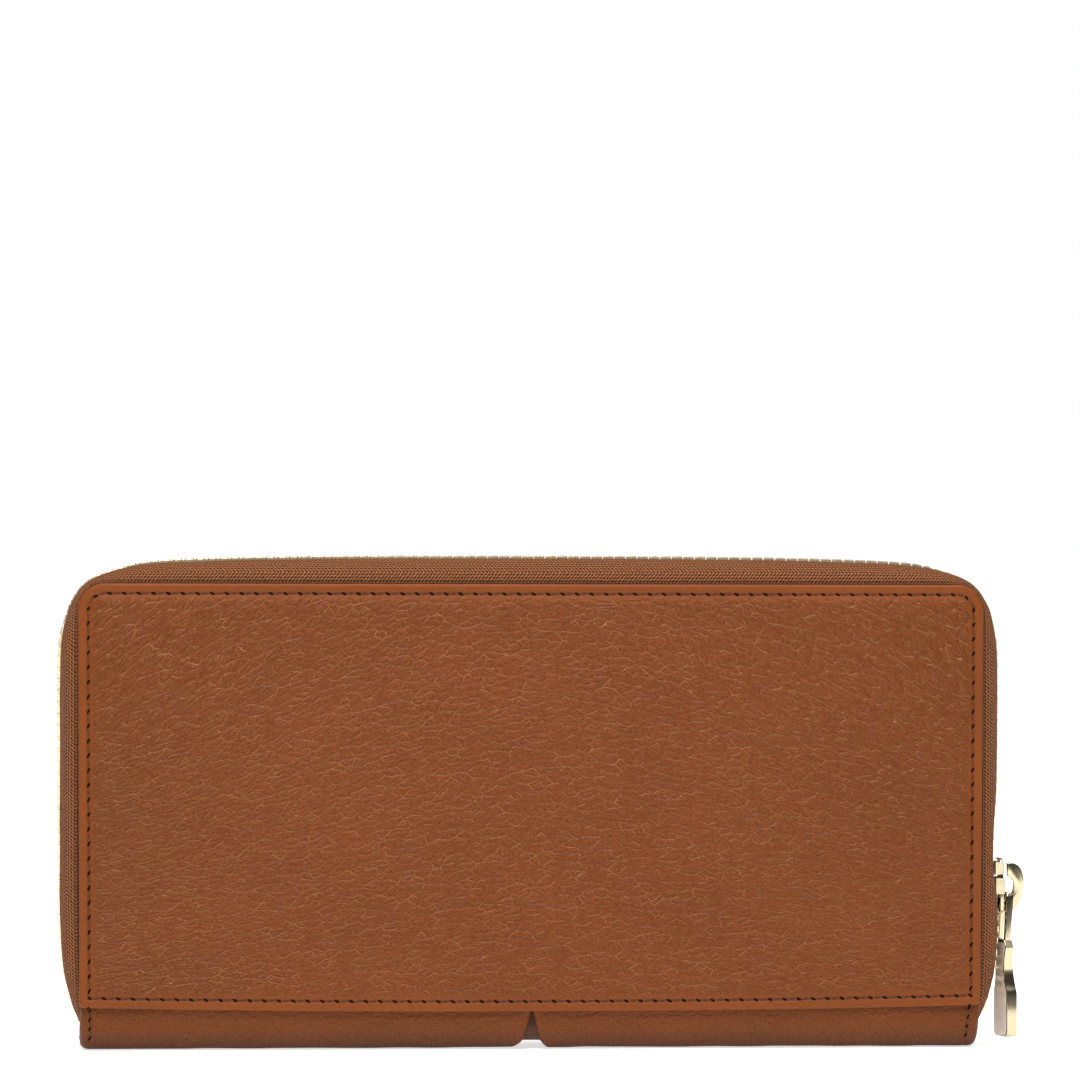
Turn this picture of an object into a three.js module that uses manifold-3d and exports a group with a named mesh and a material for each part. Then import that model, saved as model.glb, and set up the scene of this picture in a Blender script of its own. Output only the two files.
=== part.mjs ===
// Long zip around wallet, closed, standing on its spine. Millimetres, +Z up.
// The rear cover faces -Y, the front cover +Y, and the zip slider is at the +X side.
import * as THREE from 'three';
import { mergeVertices } from 'three/addons/utils/BufferGeometryUtils.js';
import Module from 'manifold-3d';

// Overall sizes
const ZIP_HALF_WIDTH = 97.5;
const ZIP_TOP = 101.4;
const HOOK_REACH = 103.3;

// Covers
const COVER_HALF_WIDTH = 93.5;
const COVER_TOP = 95.6;
const COVER_CORNER = 5.5;
const HEM_END_Z = 9.0;
const HEM_MIDDLE_Z = 7.8;
const SEAM_HALF_GAP = 0.3;

// Layers of a cover, as [inner, outer] distances from the middle plane
const LEATHER = [10.4, 11.6];
const BOARD_BACK = [9.4, 10.2];
const BOARD_FRONT = [9.2, 9.75];
const SEAM_UNDERLAY = [9.9, 10.2];
const LINING = [8.8, 9.15];
const TAPE_MARGIN = [9.5, 10.1];
const CARD_LEAF_OUTER = [8.6, 8.0, 7.4];
const CARD_LEAF_THICKNESS = 0.4;
const CARD_LEAF_TOP = [76, 62, 48];
const CARD_LEAF_BOTTOM = 13;
const CARD_LEAF_X = [1.5, 88.5];
const INNER_BOTTOM = 11.6;
const INNER_TOP = 94.0;
const BOARD_INSET = 5.2;

// Spine
const SPINE_HALF_LENGTH = 92.8;
const SPINE_OUTER_Y = 10.2;
const SPINE_RADIUS = 5;
const SPINE_LEATHER = 1.2;
const SPINE_LEG_TOP = 11;
const SPINE_ARC_STEPS = 5;
const NOTCH_TOP_HALF_WIDTH = 0.2;
const NOTCH_BASE_HALF_WIDTH = 2.0;

// Zip
const RIM_CORNER_X = 78.5;
const RIM_CORNER_Z = 82.4;
const RIM_BOTTOM_Z = 4;
const RIM_STRAIGHT_Z = 14;
const RIM_FOOT_X = 95.0;
const RIM_CROWN = 1.1;
const CORNER_STEPS = 8;
const CROWN_STEPS = 8;
const TAPE_THICKNESS = 0.6;
const TAPE_MARGIN_WIDTH = 4;
const TAPE_FOOT_MARGIN = 0.3;
const TAPE_CHAIN_Y = 2.6;
const TAPE_FLAT_Y = 4.6;
const TAPE_DEPTH = 1.0;
const TOOTH_PITCH = 2.4;
const TOOTH_WIDTH = 1.3;
const TOOTH_RISE = 0.9;
const CHAIN_DEPTH = 1.9;
const ROW_Y = [0.6, 2.3];
const CHAIN_FOOT_Z = 7;
const STOP_Z = [4.4, 6.2];

// Slider and puller
const SLIDER_Z = [27.3, 39.6];
const SLIDER_PLATE = [97.9, 99.0];
const SLIDER_INNER_PLATE = [94.0, 95.2];
const SLIDER_HALF_WIDTH = 4.1;
const SLIDER_TOP_HALF_WIDTH = 3.1;
const SLIDER_FLANGE = 0.25;
const SLIDER_FLANGE_Y = 3.0;
const SLIDER_POST = { halfY: 0.4, z: [28.7, 32.5] };
const HOOK = { bottom: 27.5, top: 38.1, holeX: 101.4, hole: [31.3, 35.0], slitX: 99.8, halfY: 0.9 };
const PULLER = {
  pivotX: 100.35,
  pivotZ: 32.35,
  turn: THREE.MathUtils.degToRad(12),
  eyeHalfWidth: 2.65,
  eyeInnerHalfWidth: 1.75,
  eyeThickness: 1.0,
  eyeBar: 0.5,
  holeBottom: 23.3,
  tabTop: 21.7,
  tabBottom: 1.5,
  tabHalfWidth: 3.9,
  tabThickness: 2.2,
  tabCornerRadius: 1.6,
};

// Coin pocket
const COIN_HALF_LENGTH = 88;
const COIN_WALL = [1.8, 2.4];
const COIN_Z = [6, 80];
const COIN_FLOOR = 0.6;
const COIN_TAPE_LEG = [1.2, 1.6];
const COIN_TAPE_Z = [72, 81.5];
const COIN_TAPE_SHELF = 0.4;
const COIN_TAPE_INNER = 1.0;
const COIN_COIL = { y: [0.12, 0.85], z: [80.9, 82.3], halfLength: 82 };
const COIN_SLIDER = { x: [74, 82], plateZ: [82.6, 83.4], underZ: [79.6, 80.5], halfY: 2.2, postHalfX: 3.2 };
const COIN_LUG = { x: [75.4, 80.4], top: 85.6, arm: 0.7, halfY: 0.7 };
const COIN_PULLER = { pivotX: 79.0, length: 13, halfY: 1.9, innerHalfY: 1.0, thickness: 0.7, bar: 0.6 };

// Gussets
const GUSSET_Z = [12, 72];
const GUSSET_X = [79, 90];
const GUSSET_Y = [6.5, 5.6, 4.7, 3.8, 2.9];
const GUSSET_THICKNESS = 0.35;

const TAN_LEATHER = 0x9a5a35;
const SMOOTH_LEATHER = 0x86502f;
const DARK_LEATHER = 0x5a3c2d;
const TAPE_BROWN = 0x7a4c34;
const LINING_BROWN = 0x6b4a36;
const BOARD_GREY = 0x8c8478;
const PALE_GOLD = 0xcdb894;
const COIL_BROWN = 0x4c3226;

const wasm = await Module();
wasm.setup();

const group = new THREE.Group();
group.name = 'zip_around_wallet';

function addPart(name, geometry, color, metalness = 0) {
  const material = new THREE.MeshStandardMaterial({ color, metalness, roughness: metalness ? 0.35 : 0.7 });
  const mesh = new THREE.Mesh(geometry, material);
  mesh.name = name;
  group.add(mesh);
}

// ---- shape helpers ----

function toManifold(geometry) {
  const bare = new THREE.BufferGeometry();
  bare.setAttribute('position', geometry.getAttribute('position'));
  if (geometry.index) bare.setIndex(geometry.index);
  const merged = mergeVertices(bare, 1e-4);
  return new wasm.Manifold(new wasm.Mesh({
    numProp: 3,
    vertProperties: new Float32Array(merged.getAttribute('position').array),
    triVerts: new Uint32Array(merged.index.array),
  }));
}

function fromManifold(solid) {
  const mesh = solid.getMesh();
  const geometry = new THREE.BufferGeometry();
  geometry.setAttribute('position', new THREE.BufferAttribute(new Float32Array(mesh.vertProperties), 3));
  geometry.setIndex(new THREE.BufferAttribute(new Uint32Array(mesh.triVerts), 1));
  geometry.computeVertexNormals();
  return geometry;
}

function union(geometries) {
  const solids = geometries.map(toManifold);
  return fromManifold(solids.reduce((whole, next) => whole.add(next)));
}

function block([x0, x1], [y0, y1], [z0, z1]) {
  const geometry = new THREE.BoxGeometry(x1 - x0, y1 - y0, z1 - z0);
  return geometry.translate((x0 + x1) / 2, (y0 + y1) / 2, (z0 + z1) / 2);
}

// An outline in (x, z) made solid between two y values.
function plateXZ(outline, [y0, y1], holes = []) {
  const shape = new THREE.Shape(outline.map(([x, z]) => new THREE.Vector2(x, z)));
  for (const hole of holes) {
    shape.holes.push(new THREE.Path(hole.map(([x, z]) => new THREE.Vector2(x, z))));
  }
  const geometry = new THREE.ExtrudeGeometry(shape, { depth: y1 - y0, bevelEnabled: false });
  return geometry.rotateX(Math.PI / 2).translate(0, y1, 0);
}

// An outline in (y, z) made solid between two x values.
function plateYZ(outline, [x0, x1]) {
  const shape = new THREE.Shape(outline.map(([y, z]) => new THREE.Vector2(y, z)));
  const geometry = new THREE.ExtrudeGeometry(shape, { depth: x1 - x0, bevelEnabled: false });
  const turn = new THREE.Matrix4().set(0, 0, 1, x0, 1, 0, 0, 0, 0, 1, 0, 0, 0, 0, 0, 1);
  return geometry.applyMatrix4(turn);
}

// Mirrored y range: side is -1 for the rear cover and +1 for the front cover.
function layer(side, [inner, outer]) {
  return side < 0 ? [-outer, -inner] : [inner, outer];
}

function mirrorX(geometry, side) {
  if (side > 0) return geometry;
  geometry.scale(-1, 1, 1);
  return flipWinding(geometry);
}

function flipWinding(geometry) {
  const flat = geometry.index ? geometry.toNonIndexed() : geometry;
  const position = flat.getAttribute('position');
  for (let i = 0; i < position.count; i += 3) {
    const [x, y, z] = [position.getX(i + 1), position.getY(i + 1), position.getZ(i + 1)];
    position.setXYZ(i + 1, position.getX(i + 2), position.getY(i + 2), position.getZ(i + 2));
    position.setXYZ(i + 2, x, y, z);
  }
  flat.computeVertexNormals();
  return flat;
}

// Closed loops of equal length joined in order, with both ends capped by fans.
function loft(loops) {
  const points = loops.flat();
  const size = loops[0].length;
  const triangles = [];
  for (let i = 0; i < loops.length - 1; i += 1) {
    for (let j = 0; j < size; j += 1) {
      const a = i * size + j;
      const b = i * size + ((j + 1) % size);
      triangles.push(a, b, b + size, a, b + size, a + size);
    }
  }
  const last = (loops.length - 1) * size;
  for (const [base, forward] of [[0, false], [last, true]]) {
    for (let j = 0; j < size / 2 - 1; j += 1) {
      const quad = [base + j, base + j + 1, base + size - 2 - j, base + size - 1 - j];
      const [a, b, c, d] = forward ? quad : [quad[3], quad[2], quad[1], quad[0]];
      triangles.push(a, b, c, a, c, d);
    }
  }
  const geometry = new THREE.BufferGeometry();
  geometry.setAttribute('position', new THREE.Float32BufferAttribute(points.flat(), 3));
  geometry.setIndex(triangles);
  return signedVolume(geometry) < 0 ? flipWinding(geometry) : geometry;
}

function signedVolume(geometry) {
  const flat = geometry.index ? geometry.toNonIndexed() : geometry;
  const position = flat.getAttribute('position');
  const [a, b, c] = [new THREE.Vector3(), new THREE.Vector3(), new THREE.Vector3()];
  let volume = 0;
  for (let i = 0; i < position.count; i += 3) {
    a.fromBufferAttribute(position, i);
    b.fromBufferAttribute(position, i + 1);
    c.fromBufferAttribute(position, i + 2);
    volume += a.dot(b.cross(c)) / 6;
  }
  return volume;
}

// A ribbon's outline: its centre line moved half a thickness to each side.
function ribbon(line, thickness) {
  const left = [];
  const right = [];
  line.forEach((point, i) => {
    const before = line[Math.max(i - 1, 0)];
    const after = line[Math.min(i + 1, line.length - 1)];
    const length = Math.hypot(after[0] - before[0], after[1] - before[1]);
    const normal = [-(after[1] - before[1]) / length, (after[0] - before[0]) / length];
    left.push([point[0] + (normal[0] * thickness) / 2, point[1] + (normal[1] * thickness) / 2]);
    right.push([point[0] - (normal[0] * thickness) / 2, point[1] - (normal[1] * thickness) / 2]);
  });
  return [...left, ...right.reverse()];
}

function arc(centerX, centerZ, radius, from, to, steps) {
  return Array.from({ length: steps + 1 }, (_, i) => {
    const angle = THREE.MathUtils.degToRad(from + ((to - from) * i) / steps);
    return [centerX + radius * Math.cos(angle), centerZ + radius * Math.sin(angle)];
  });
}

// ---- covers ----

function hemZ(x) {
  return HEM_MIDDLE_Z + (HEM_END_Z - HEM_MIDDLE_Z) * (x / COVER_HALF_WIDTH) ** 2;
}

// Cover outline between two x values; a side that reaches the edge gets round corners.
function coverOutline(x0, x1) {
  const outline = [];
  const steps = 6;
  for (let i = 0; i <= steps; i += 1) {
    const x = x0 + ((x1 - x0) * i) / steps;
    outline.push([x, hemZ(x)]);
  }
  const [cx, cz] = [COVER_HALF_WIDTH - COVER_CORNER, COVER_TOP - COVER_CORNER];
  if (x1 === COVER_HALF_WIDTH) outline.push(...arc(cx, cz, COVER_CORNER, 0, 90, 5));
  else outline.push([x1, COVER_TOP]);
  if (x0 === -COVER_HALF_WIDTH) outline.push(...arc(-cx, cz, COVER_CORNER, 90, 180, 5));
  else outline.push([x0, COVER_TOP]);
  return outline;
}

function roundedTop(halfWidth, bottom, top, radius) {
  return [
    [-halfWidth, bottom],
    [halfWidth, bottom],
    ...arc(halfWidth - radius, top - radius, radius, 0, 90, 4),
    ...arc(-halfWidth + radius, top - radius, radius, 90, 180, 4),
  ];
}

function addCover(side, word, board) {
  const boardHalf = COVER_HALF_WIDTH - BOARD_INSET;
  const boardTop = COVER_TOP - BOARD_INSET;
  addPart(`${word}_board`, plateXZ(roundedTop(boardHalf, INNER_BOTTOM, boardTop, 3), layer(side, board)), BOARD_GREY);
  const liningOutline = roundedTop(COVER_HALF_WIDTH - 1.5, INNER_BOTTOM, INNER_TOP, 5);
  addPart(`${word}_lining`, plateXZ(liningOutline, layer(side, LINING)), LINING_BROWN);
  for (const [column, sign] of [['left', -1], ['right', 1]]) {
    CARD_LEAF_TOP.forEach((top, i) => {
      const x = sign < 0 ? [-CARD_LEAF_X[1], -CARD_LEAF_X[0]] : CARD_LEAF_X;
      const y = layer(side, [CARD_LEAF_OUTER[i] - CARD_LEAF_THICKNESS, CARD_LEAF_OUTER[i]]);
      addPart(`${word}_card_leaf_${column}_${i + 1}`, block(x, y, [CARD_LEAF_BOTTOM, top]), SMOOTH_LEATHER);
    });
  }
}

addPart(
  'back_panel_leather',
  plateXZ(coverOutline(-COVER_HALF_WIDTH, COVER_HALF_WIDTH), layer(-1, LEATHER)),
  TAN_LEATHER,
);
addPart(
  'front_panel_left',
  plateXZ(coverOutline(-COVER_HALF_WIDTH, -SEAM_HALF_GAP), layer(1, LEATHER)),
  TAN_LEATHER,
);
addPart(
  'front_panel_right',
  plateXZ(coverOutline(SEAM_HALF_GAP, COVER_HALF_WIDTH), layer(1, LEATHER)),
  TAN_LEATHER,
);
addPart(
  'front_seam_underlay',
  block([-8, 8], SEAM_UNDERLAY, [INNER_BOTTOM, COVER_TOP - BOARD_INSET]),
  DARK_LEATHER,
);
addCover(-1, 'back', BOARD_BACK);
addCover(1, 'front', BOARD_FRONT);

// ---- spine ----

// Centre line of the channel under the wallet, from the rear leg to the front leg.
function channelLine(outerY, bottomZ, radius, legTop, thickness) {
  const y = outerY - thickness / 2;
  const z = bottomZ + thickness / 2;
  const r = radius - thickness / 2;
  const rear = arc(-y + r, z + r, r, 180, 270, SPINE_ARC_STEPS);
  const front = arc(y - r, z + r, r, 270, 360, SPINE_ARC_STEPS);
  return [[-y, legTop], ...rear, ...front, [y, legTop]];
}

function notchHalfWidth(z) {
  const t = THREE.MathUtils.clamp((HEM_MIDDLE_Z - z) / HEM_MIDDLE_Z, 0, 1);
  return NOTCH_TOP_HALF_WIDTH + (NOTCH_BASE_HALF_WIDTH - NOTCH_TOP_HALF_WIDTH) * t;
}

function spineHalf(side) {
  const line = channelLine(SPINE_OUTER_Y, 0, SPINE_RADIUS, SPINE_LEG_TOP, SPINE_LEATHER);
  const profile = ribbon(line, SPINE_LEATHER);
  const outer = profile.map(([y, z]) => [side * SPINE_HALF_LENGTH, y, z]);
  const inner = profile.map(([y, z]) => [side * notchHalfWidth(z), y, z]);
  return loft([inner, outer]);
}

addPart('spine_leather_left', spineHalf(-1), SMOOTH_LEATHER);
addPart('spine_leather_right', spineHalf(1), SMOOTH_LEATHER);
const underlayLine = channelLine(SPINE_OUTER_Y - 1.5, 1.5, 3.6, 9.5, 0.4);
const underlayProfile = ribbon(underlayLine, 0.4);
addPart('spine_underlay', loft([
  underlayProfile.map(([y, z]) => [-8, y, z]),
  underlayProfile.map(([y, z]) => [8, y, z]),
]), DARK_LEATHER);
addPart('spine_board', block([-90, 90], [-5.5, 5.5], [2.2, 3.0]), BOARD_GREY);
addPart('spine_lining', block([-90, 90], [-6.5, 6.5], [3.2, 3.6]), LINING_BROWN);

// ---- zip ----

function smoothstep(t) {
  const u = THREE.MathUtils.clamp(t, 0, 1);
  return u * u * (3 - 2 * u);
}

function rimX(z) {
  const t = (z - RIM_BOTTOM_Z) / (RIM_STRAIGHT_Z - RIM_BOTTOM_Z);
  return RIM_FOOT_X + (ZIP_HALF_WIDTH - RIM_FOOT_X) * Math.sin((Math.min(t, 1) * Math.PI) / 2);
}

function rimTop(x) {
  return ZIP_TOP - RIM_CROWN * (x / RIM_CORNER_X) ** 2;
}

function rimRadius(degrees) {
  const side = ZIP_HALF_WIDTH - RIM_CORNER_X;
  const top = ZIP_TOP - RIM_CROWN - RIM_CORNER_Z;
  return side + (top - side) * smoothstep((degrees - 40) / 50);
}

// Distance from the corner centre to the cover's edge along a ray.
function coverEdgeDistance(degrees) {
  const angle = THREE.MathUtils.degToRad(degrees);
  const direction = new THREE.Vector2(Math.cos(angle), Math.sin(angle));
  const corner = new THREE.Vector2(
    COVER_HALF_WIDTH - COVER_CORNER - RIM_CORNER_X,
    COVER_TOP - COVER_CORNER - RIM_CORNER_Z,
  );
  const along = corner.dot(direction);
  const round = along + Math.sqrt(along ** 2 - corner.lengthSq() + COVER_CORNER ** 2);
  const hit = direction.clone().multiplyScalar(round);
  if (hit.x > corner.x && hit.y > corner.y) return round;
  const toSide = (COVER_HALF_WIDTH - RIM_CORNER_X) / Math.max(direction.x, 1e-9);
  const toTop = (COVER_TOP - RIM_CORNER_Z) / Math.max(direction.y, 1e-9);
  return Math.min(toSide, toTop);
}

// Stations round the right half of the rim, from the foot up to the middle of the top.
function rightRim() {
  const stations = [];
  const feet = [RIM_BOTTOM_Z, 6, 8, 10, 11.4, 12.4, RIM_STRAIGHT_Z, 46];
  for (const z of feet) {
    const outer = [rimX(z), z];
    stations.push({ outer, edge: [COVER_HALF_WIDTH, z], inward: [-1, 0], low: z < INNER_BOTTOM });
  }
  for (let i = 0; i <= CORNER_STEPS; i += 1) {
    const degrees = (90 * i) / CORNER_STEPS;
    const angle = THREE.MathUtils.degToRad(degrees);
    const [c, s] = [Math.cos(angle), Math.sin(angle)];
    const [outer, edge] = [rimRadius(degrees), coverEdgeDistance(degrees)].map(
      (r) => [RIM_CORNER_X + r * c, RIM_CORNER_Z + r * s],
    );
    stations.push({ outer, edge, inward: [-c, -s], low: false });
  }
  for (let i = 1; i < CROWN_STEPS / 2 + 1; i += 1) {
    const x = RIM_CORNER_X * (1 - (2 * i) / CROWN_STEPS);
    stations.push({ outer: [x, rimTop(x)], edge: [x, COVER_TOP], inward: [0, -1], low: false });
  }
  return stations;
}

function wholeRim() {
  const right = rightRim();
  const flip = ({ outer, edge, inward, low }) => ({
    outer: [-outer[0], outer[1]],
    edge: [-edge[0], edge[1]],
    inward: [-inward[0], inward[1]],
    low,
  });
  return [...right, ...right.slice(0, -1).reverse().map(flip)];
}

function tapeLoop(station, side) {
  const { outer, edge, inward, low } = station;
  const toEdge = Math.hypot(outer[0] - edge[0], outer[1] - edge[1]);
  const margin = low ? TAPE_FOOT_MARGIN : TAPE_MARGIN_WIDTH;
  const edgeY = (TAPE_MARGIN[0] + TAPE_MARGIN[1]) / 2;
  const middle = (TAPE_FLAT_Y + edgeY) / 2;
  const line = [
    [TAPE_DEPTH, TAPE_CHAIN_Y],
    [TAPE_DEPTH, TAPE_FLAT_Y],
    [TAPE_DEPTH + (toEdge - TAPE_DEPTH) * 0.35, middle],
    [toEdge, edgeY],
    [toEdge + margin, edgeY],
  ];
  return ribbon(line, TAPE_THICKNESS).map(([depth, y]) => [
    outer[0] + inward[0] * depth,
    side * y,
    outer[1] + inward[1] * depth,
  ]);
}

// The rim as evenly spaced points with outward normals, from the right foot to the left foot.
function chainPoints() {
  const dense = wholeRim().map(({ outer }) => new THREE.Vector3(outer[0], 0, outer[1]));
  const straight = dense.filter((point) => point.z >= CHAIN_FOOT_Z);
  const foot = new THREE.Vector3(rimX(CHAIN_FOOT_Z), 0, CHAIN_FOOT_Z);
  const path = [foot, ...straight, foot.clone().setX(-foot.x)];
  const lengths = [0];
  for (let i = 1; i < path.length; i += 1) lengths.push(lengths[i - 1] + path[i].distanceTo(path[i - 1]));
  const total = lengths[lengths.length - 1];
  return { path, lengths, total };
}

function pointAt({ path, lengths, total }, s) {
  const at = THREE.MathUtils.clamp(s, 0, total);
  let i = 1;
  while (i < lengths.length - 1 && lengths[i] < at) i += 1;
  const t = (at - lengths[i - 1]) / (lengths[i] - lengths[i - 1]);
  const point = path[i - 1].clone().lerp(path[i], t);
  const tangent = path[i].clone().sub(path[i - 1]).normalize();
  return { x: point.x, z: point.z, nx: tangent.z, nz: -tangent.x };
}

// One row of teeth as a comb: teeth on the outside, a plain inner side.
function teethRow(side) {
  const chain = chainPoints();
  const count = Math.floor(chain.total / TOOTH_PITCH);
  const offset = (point, depth) => [point.x - point.nx * depth, point.z - point.nz * depth];
  const teeth = [];
  for (let i = 0; i < count; i += 1) {
    const middle = (i + 0.5) * TOOTH_PITCH;
    const from = pointAt(chain, middle - TOOTH_WIDTH / 2);
    const to = pointAt(chain, middle + TOOTH_WIDTH / 2);
    teeth.push(offset(from, TOOTH_RISE), offset(from, 0), offset(to, 0), offset(to, TOOTH_RISE));
  }
  const inside = chain.lengths.map((s) => offset(pointAt(chain, s + 0.01), CHAIN_DEPTH)).reverse();
  const outline = [...teeth, ...inside];
  return plateXZ(outline, layer(side, ROW_Y));
}

addPart('zip_tape_back', loft(wholeRim().map((station) => tapeLoop(station, -1))), TAPE_BROWN);
addPart('zip_tape_front', loft(wholeRim().map((station) => tapeLoop(station, 1))), TAPE_BROWN);
addPart('zip_teeth_back', teethRow(-1), PALE_GOLD, 1);
addPart('zip_teeth_front', teethRow(1), PALE_GOLD, 1);

const stopX = rimX((STOP_Z[0] + STOP_Z[1]) / 2);
addPart('zip_bottom_stop', block([-stopX, CHAIN_DEPTH - stopX], [-ROW_Y[1], ROW_Y[1]], STOP_Z), PALE_GOLD, 1);
addPart('zip_top_stop_back', block([stopX - CHAIN_DEPTH, stopX], layer(-1, ROW_Y), STOP_Z), PALE_GOLD, 1);
addPart('zip_top_stop_front', block([stopX - CHAIN_DEPTH, stopX], ROW_Y, STOP_Z), PALE_GOLD, 1);

// ---- slider and puller ----

function sliderPlateOutline() {
  const [z0, z1] = SLIDER_Z;
  const shoulder = z0 + (z1 - z0) * 0.45;
  return [
    [-SLIDER_HALF_WIDTH + 0.8, z0],
    [SLIDER_HALF_WIDTH - 0.8, z0],
    [SLIDER_HALF_WIDTH, z0 + 0.8],
    [SLIDER_HALF_WIDTH, shoulder],
    [SLIDER_TOP_HALF_WIDTH, z1 - 0.8],
    [SLIDER_TOP_HALF_WIDTH - 0.8, z1],
    [-SLIDER_TOP_HALF_WIDTH + 0.8, z1],
    [-SLIDER_TOP_HALF_WIDTH, z1 - 0.8],
    [-SLIDER_HALF_WIDTH, shoulder],
    [-SLIDER_HALF_WIDTH, z0 + 0.8],
  ];
}

// The open C: joined to the plate at its foot, with a slit between its tip and the plate.
function hookOutline() {
  const foot = SLIDER_PLATE[1] - 0.4;
  const { bottom, top, hole, holeX, slitX } = HOOK;
  const bevel = 1.6;
  return [
    [foot, bottom],
    [HOOK_REACH - bevel, bottom],
    [HOOK_REACH - 0.4, bottom + bevel],
    [HOOK_REACH, (bottom + top) / 2],
    [HOOK_REACH - 0.5, top - bevel],
    [HOOK_REACH - bevel, top],
    [slitX + 0.3, top],
    [slitX, top - 0.5],
    [slitX, hole[1]],
    [holeX - 0.5, hole[1]],
    [holeX, hole[1] - 0.6],
    [holeX, hole[0] + 0.6],
    [holeX - 0.5, hole[0]],
    [foot, hole[0]],
  ];
}

function zipSlider() {
  const plate = plateYZ(sliderPlateOutline(), SLIDER_PLATE);
  const inner = plateYZ(sliderPlateOutline(), SLIDER_INNER_PLATE);
  const post = block(
    [SLIDER_INNER_PLATE[1] - 0.2, SLIDER_PLATE[0] + 0.2],
    [-SLIDER_POST.halfY, SLIDER_POST.halfY],
    SLIDER_POST.z,
  );
  const lips = [];
  for (const side of [-1, 1]) {
    const y = layer(side, [SLIDER_FLANGE_Y, SLIDER_FLANGE_Y + 0.8]);
    const z = [SLIDER_Z[0] + 1.2, SLIDER_Z[0] + 5.4];
    lips.push(block([SLIDER_PLATE[0] - SLIDER_FLANGE, SLIDER_PLATE[0] + 0.2], y, z));
    lips.push(block([SLIDER_INNER_PLATE[1] - 0.2, SLIDER_INNER_PLATE[1] + SLIDER_FLANGE], y, z));
  }
  const hook = plateXZ(hookOutline(), [-HOOK.halfY, HOOK.halfY]);
  return union([plate, inner, post, ...lips, hook]);
}

// Drawn in its own plane (width along x here), then turned to face out of the side.
function zipPuller() {
  const p = PULLER;
  const top = p.pivotZ + p.eyeBar;
  const eye = plateXZ(
    [
      [-p.eyeHalfWidth, p.tabTop - 0.6],
      [p.eyeHalfWidth, p.tabTop - 0.6],
      [p.eyeHalfWidth, top - 0.5],
      [p.eyeHalfWidth - 0.5, top],
      [0.5 - p.eyeHalfWidth, top],
      [-p.eyeHalfWidth, top - 0.5],
    ],
    [-p.eyeThickness / 2, p.eyeThickness / 2],
    [[
      [-p.eyeInnerHalfWidth, p.holeBottom],
      [-p.eyeInnerHalfWidth, p.pivotZ - p.eyeBar],
      [p.eyeInnerHalfWidth, p.pivotZ - p.eyeBar],
      [p.eyeInnerHalfWidth, p.holeBottom],
    ]],
  );
  const [w, r] = [p.tabHalfWidth, p.tabCornerRadius];
  const tab = plateXZ(
    [
      ...arc(-w + r, p.tabBottom + r, r, 180, 270, 3),
      ...arc(w - r, p.tabBottom + r, r, 270, 360, 3),
      [w, p.tabTop - 1],
      [w - 1.2, p.tabTop],
      [1.2 - w, p.tabTop],
      [-w, p.tabTop - 1],
    ],
    [-p.tabThickness / 2, p.tabThickness / 2],
  );
  const flat = union([eye, tab]);
  return flat.rotateZ(Math.PI / 2 + p.turn).translate(p.pivotX, 0, 0);
}

addPart('zip_slider', zipSlider(), PALE_GOLD, 1);
addPart('zip_puller', zipPuller(), PALE_GOLD, 1);

// ---- coin pocket ----

const coinX = [-COIN_HALF_LENGTH, COIN_HALF_LENGTH];
for (const [word, side] of [['back', -1], ['front', 1]]) {
  addPart(`coin_pocket_${word}_wall`, block(coinX, layer(side, COIN_WALL), COIN_Z), LINING_BROWN);
  const [legInner, legOuter] = COIN_TAPE_LEG;
  const [z0, z1] = COIN_TAPE_Z;
  const shelf = z1 - COIN_TAPE_SHELF;
  const tape = [[legInner, z0], [legOuter, z0], [legOuter, z1], [COIN_TAPE_INNER, z1], [COIN_TAPE_INNER, shelf]];
  tape.push([legInner, shelf]);
  const outline = side > 0 ? tape : tape.map(([y, z]) => [-y, z]).reverse();
  addPart(`coin_zip_tape_${word}`, plateYZ(outline, [-84, 84]), TAPE_BROWN);
  const coilX = [-COIN_COIL.halfLength, COIN_COIL.halfLength];
  addPart(`coin_zip_coil_${word}`, block(coilX, layer(side, COIN_COIL.y), COIN_COIL.z), COIL_BROWN);
}
addPart(
  'coin_pocket_bottom',
  block(coinX, [-COIN_WALL[0] + 0.1, COIN_WALL[0] - 0.1], [COIN_Z[0], COIN_Z[0] + COIN_FLOOR]),
  LINING_BROWN,
);
for (const [word, side] of [['left', -1], ['right', 1]]) {
  const x = side < 0 ? [-COIN_HALF_LENGTH, 1 - COIN_HALF_LENGTH] : [COIN_HALF_LENGTH - 1, COIN_HALF_LENGTH];
  const y = [-COIN_WALL[0] + 0.1, COIN_WALL[0] - 0.1];
  addPart(`coin_pocket_side_${word}`, block(x, y, [COIN_Z[0] + COIN_FLOOR + 0.2, COIN_Z[1] - 1]), LINING_BROWN);
}

function coinSlider() {
  const { x, plateZ, underZ, halfY, postHalfX } = COIN_SLIDER;
  const middle = (x[0] + x[1]) / 2;
  const plate = block(x, [-halfY, halfY], plateZ);
  const under = block(x, [-0.9, 0.9], underZ);
  const post = block(
    [middle + postHalfX - 0.8, middle + postHalfX],
    [-0.1, 0.1],
    [underZ[1] - 0.2, plateZ[0] + 0.2],
  );
  const { arm, top } = COIN_LUG;
  const [a, b] = COIN_LUG.x;
  const foot = plateZ[1] - 0.2;
  const arch = [
    [a, foot], [a + arm, foot], [a + arm, top - arm], [b - arm, top - arm], [b - arm, foot],
    [b, foot], [b, top - 0.4], [b - 0.4, top], [a + 0.4, top], [a, top - 0.4],
  ];
  const lug = plateXZ(arch, [-COIN_LUG.halfY, COIN_LUG.halfY]);
  return union([plate, under, post, lug]);
}

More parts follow.
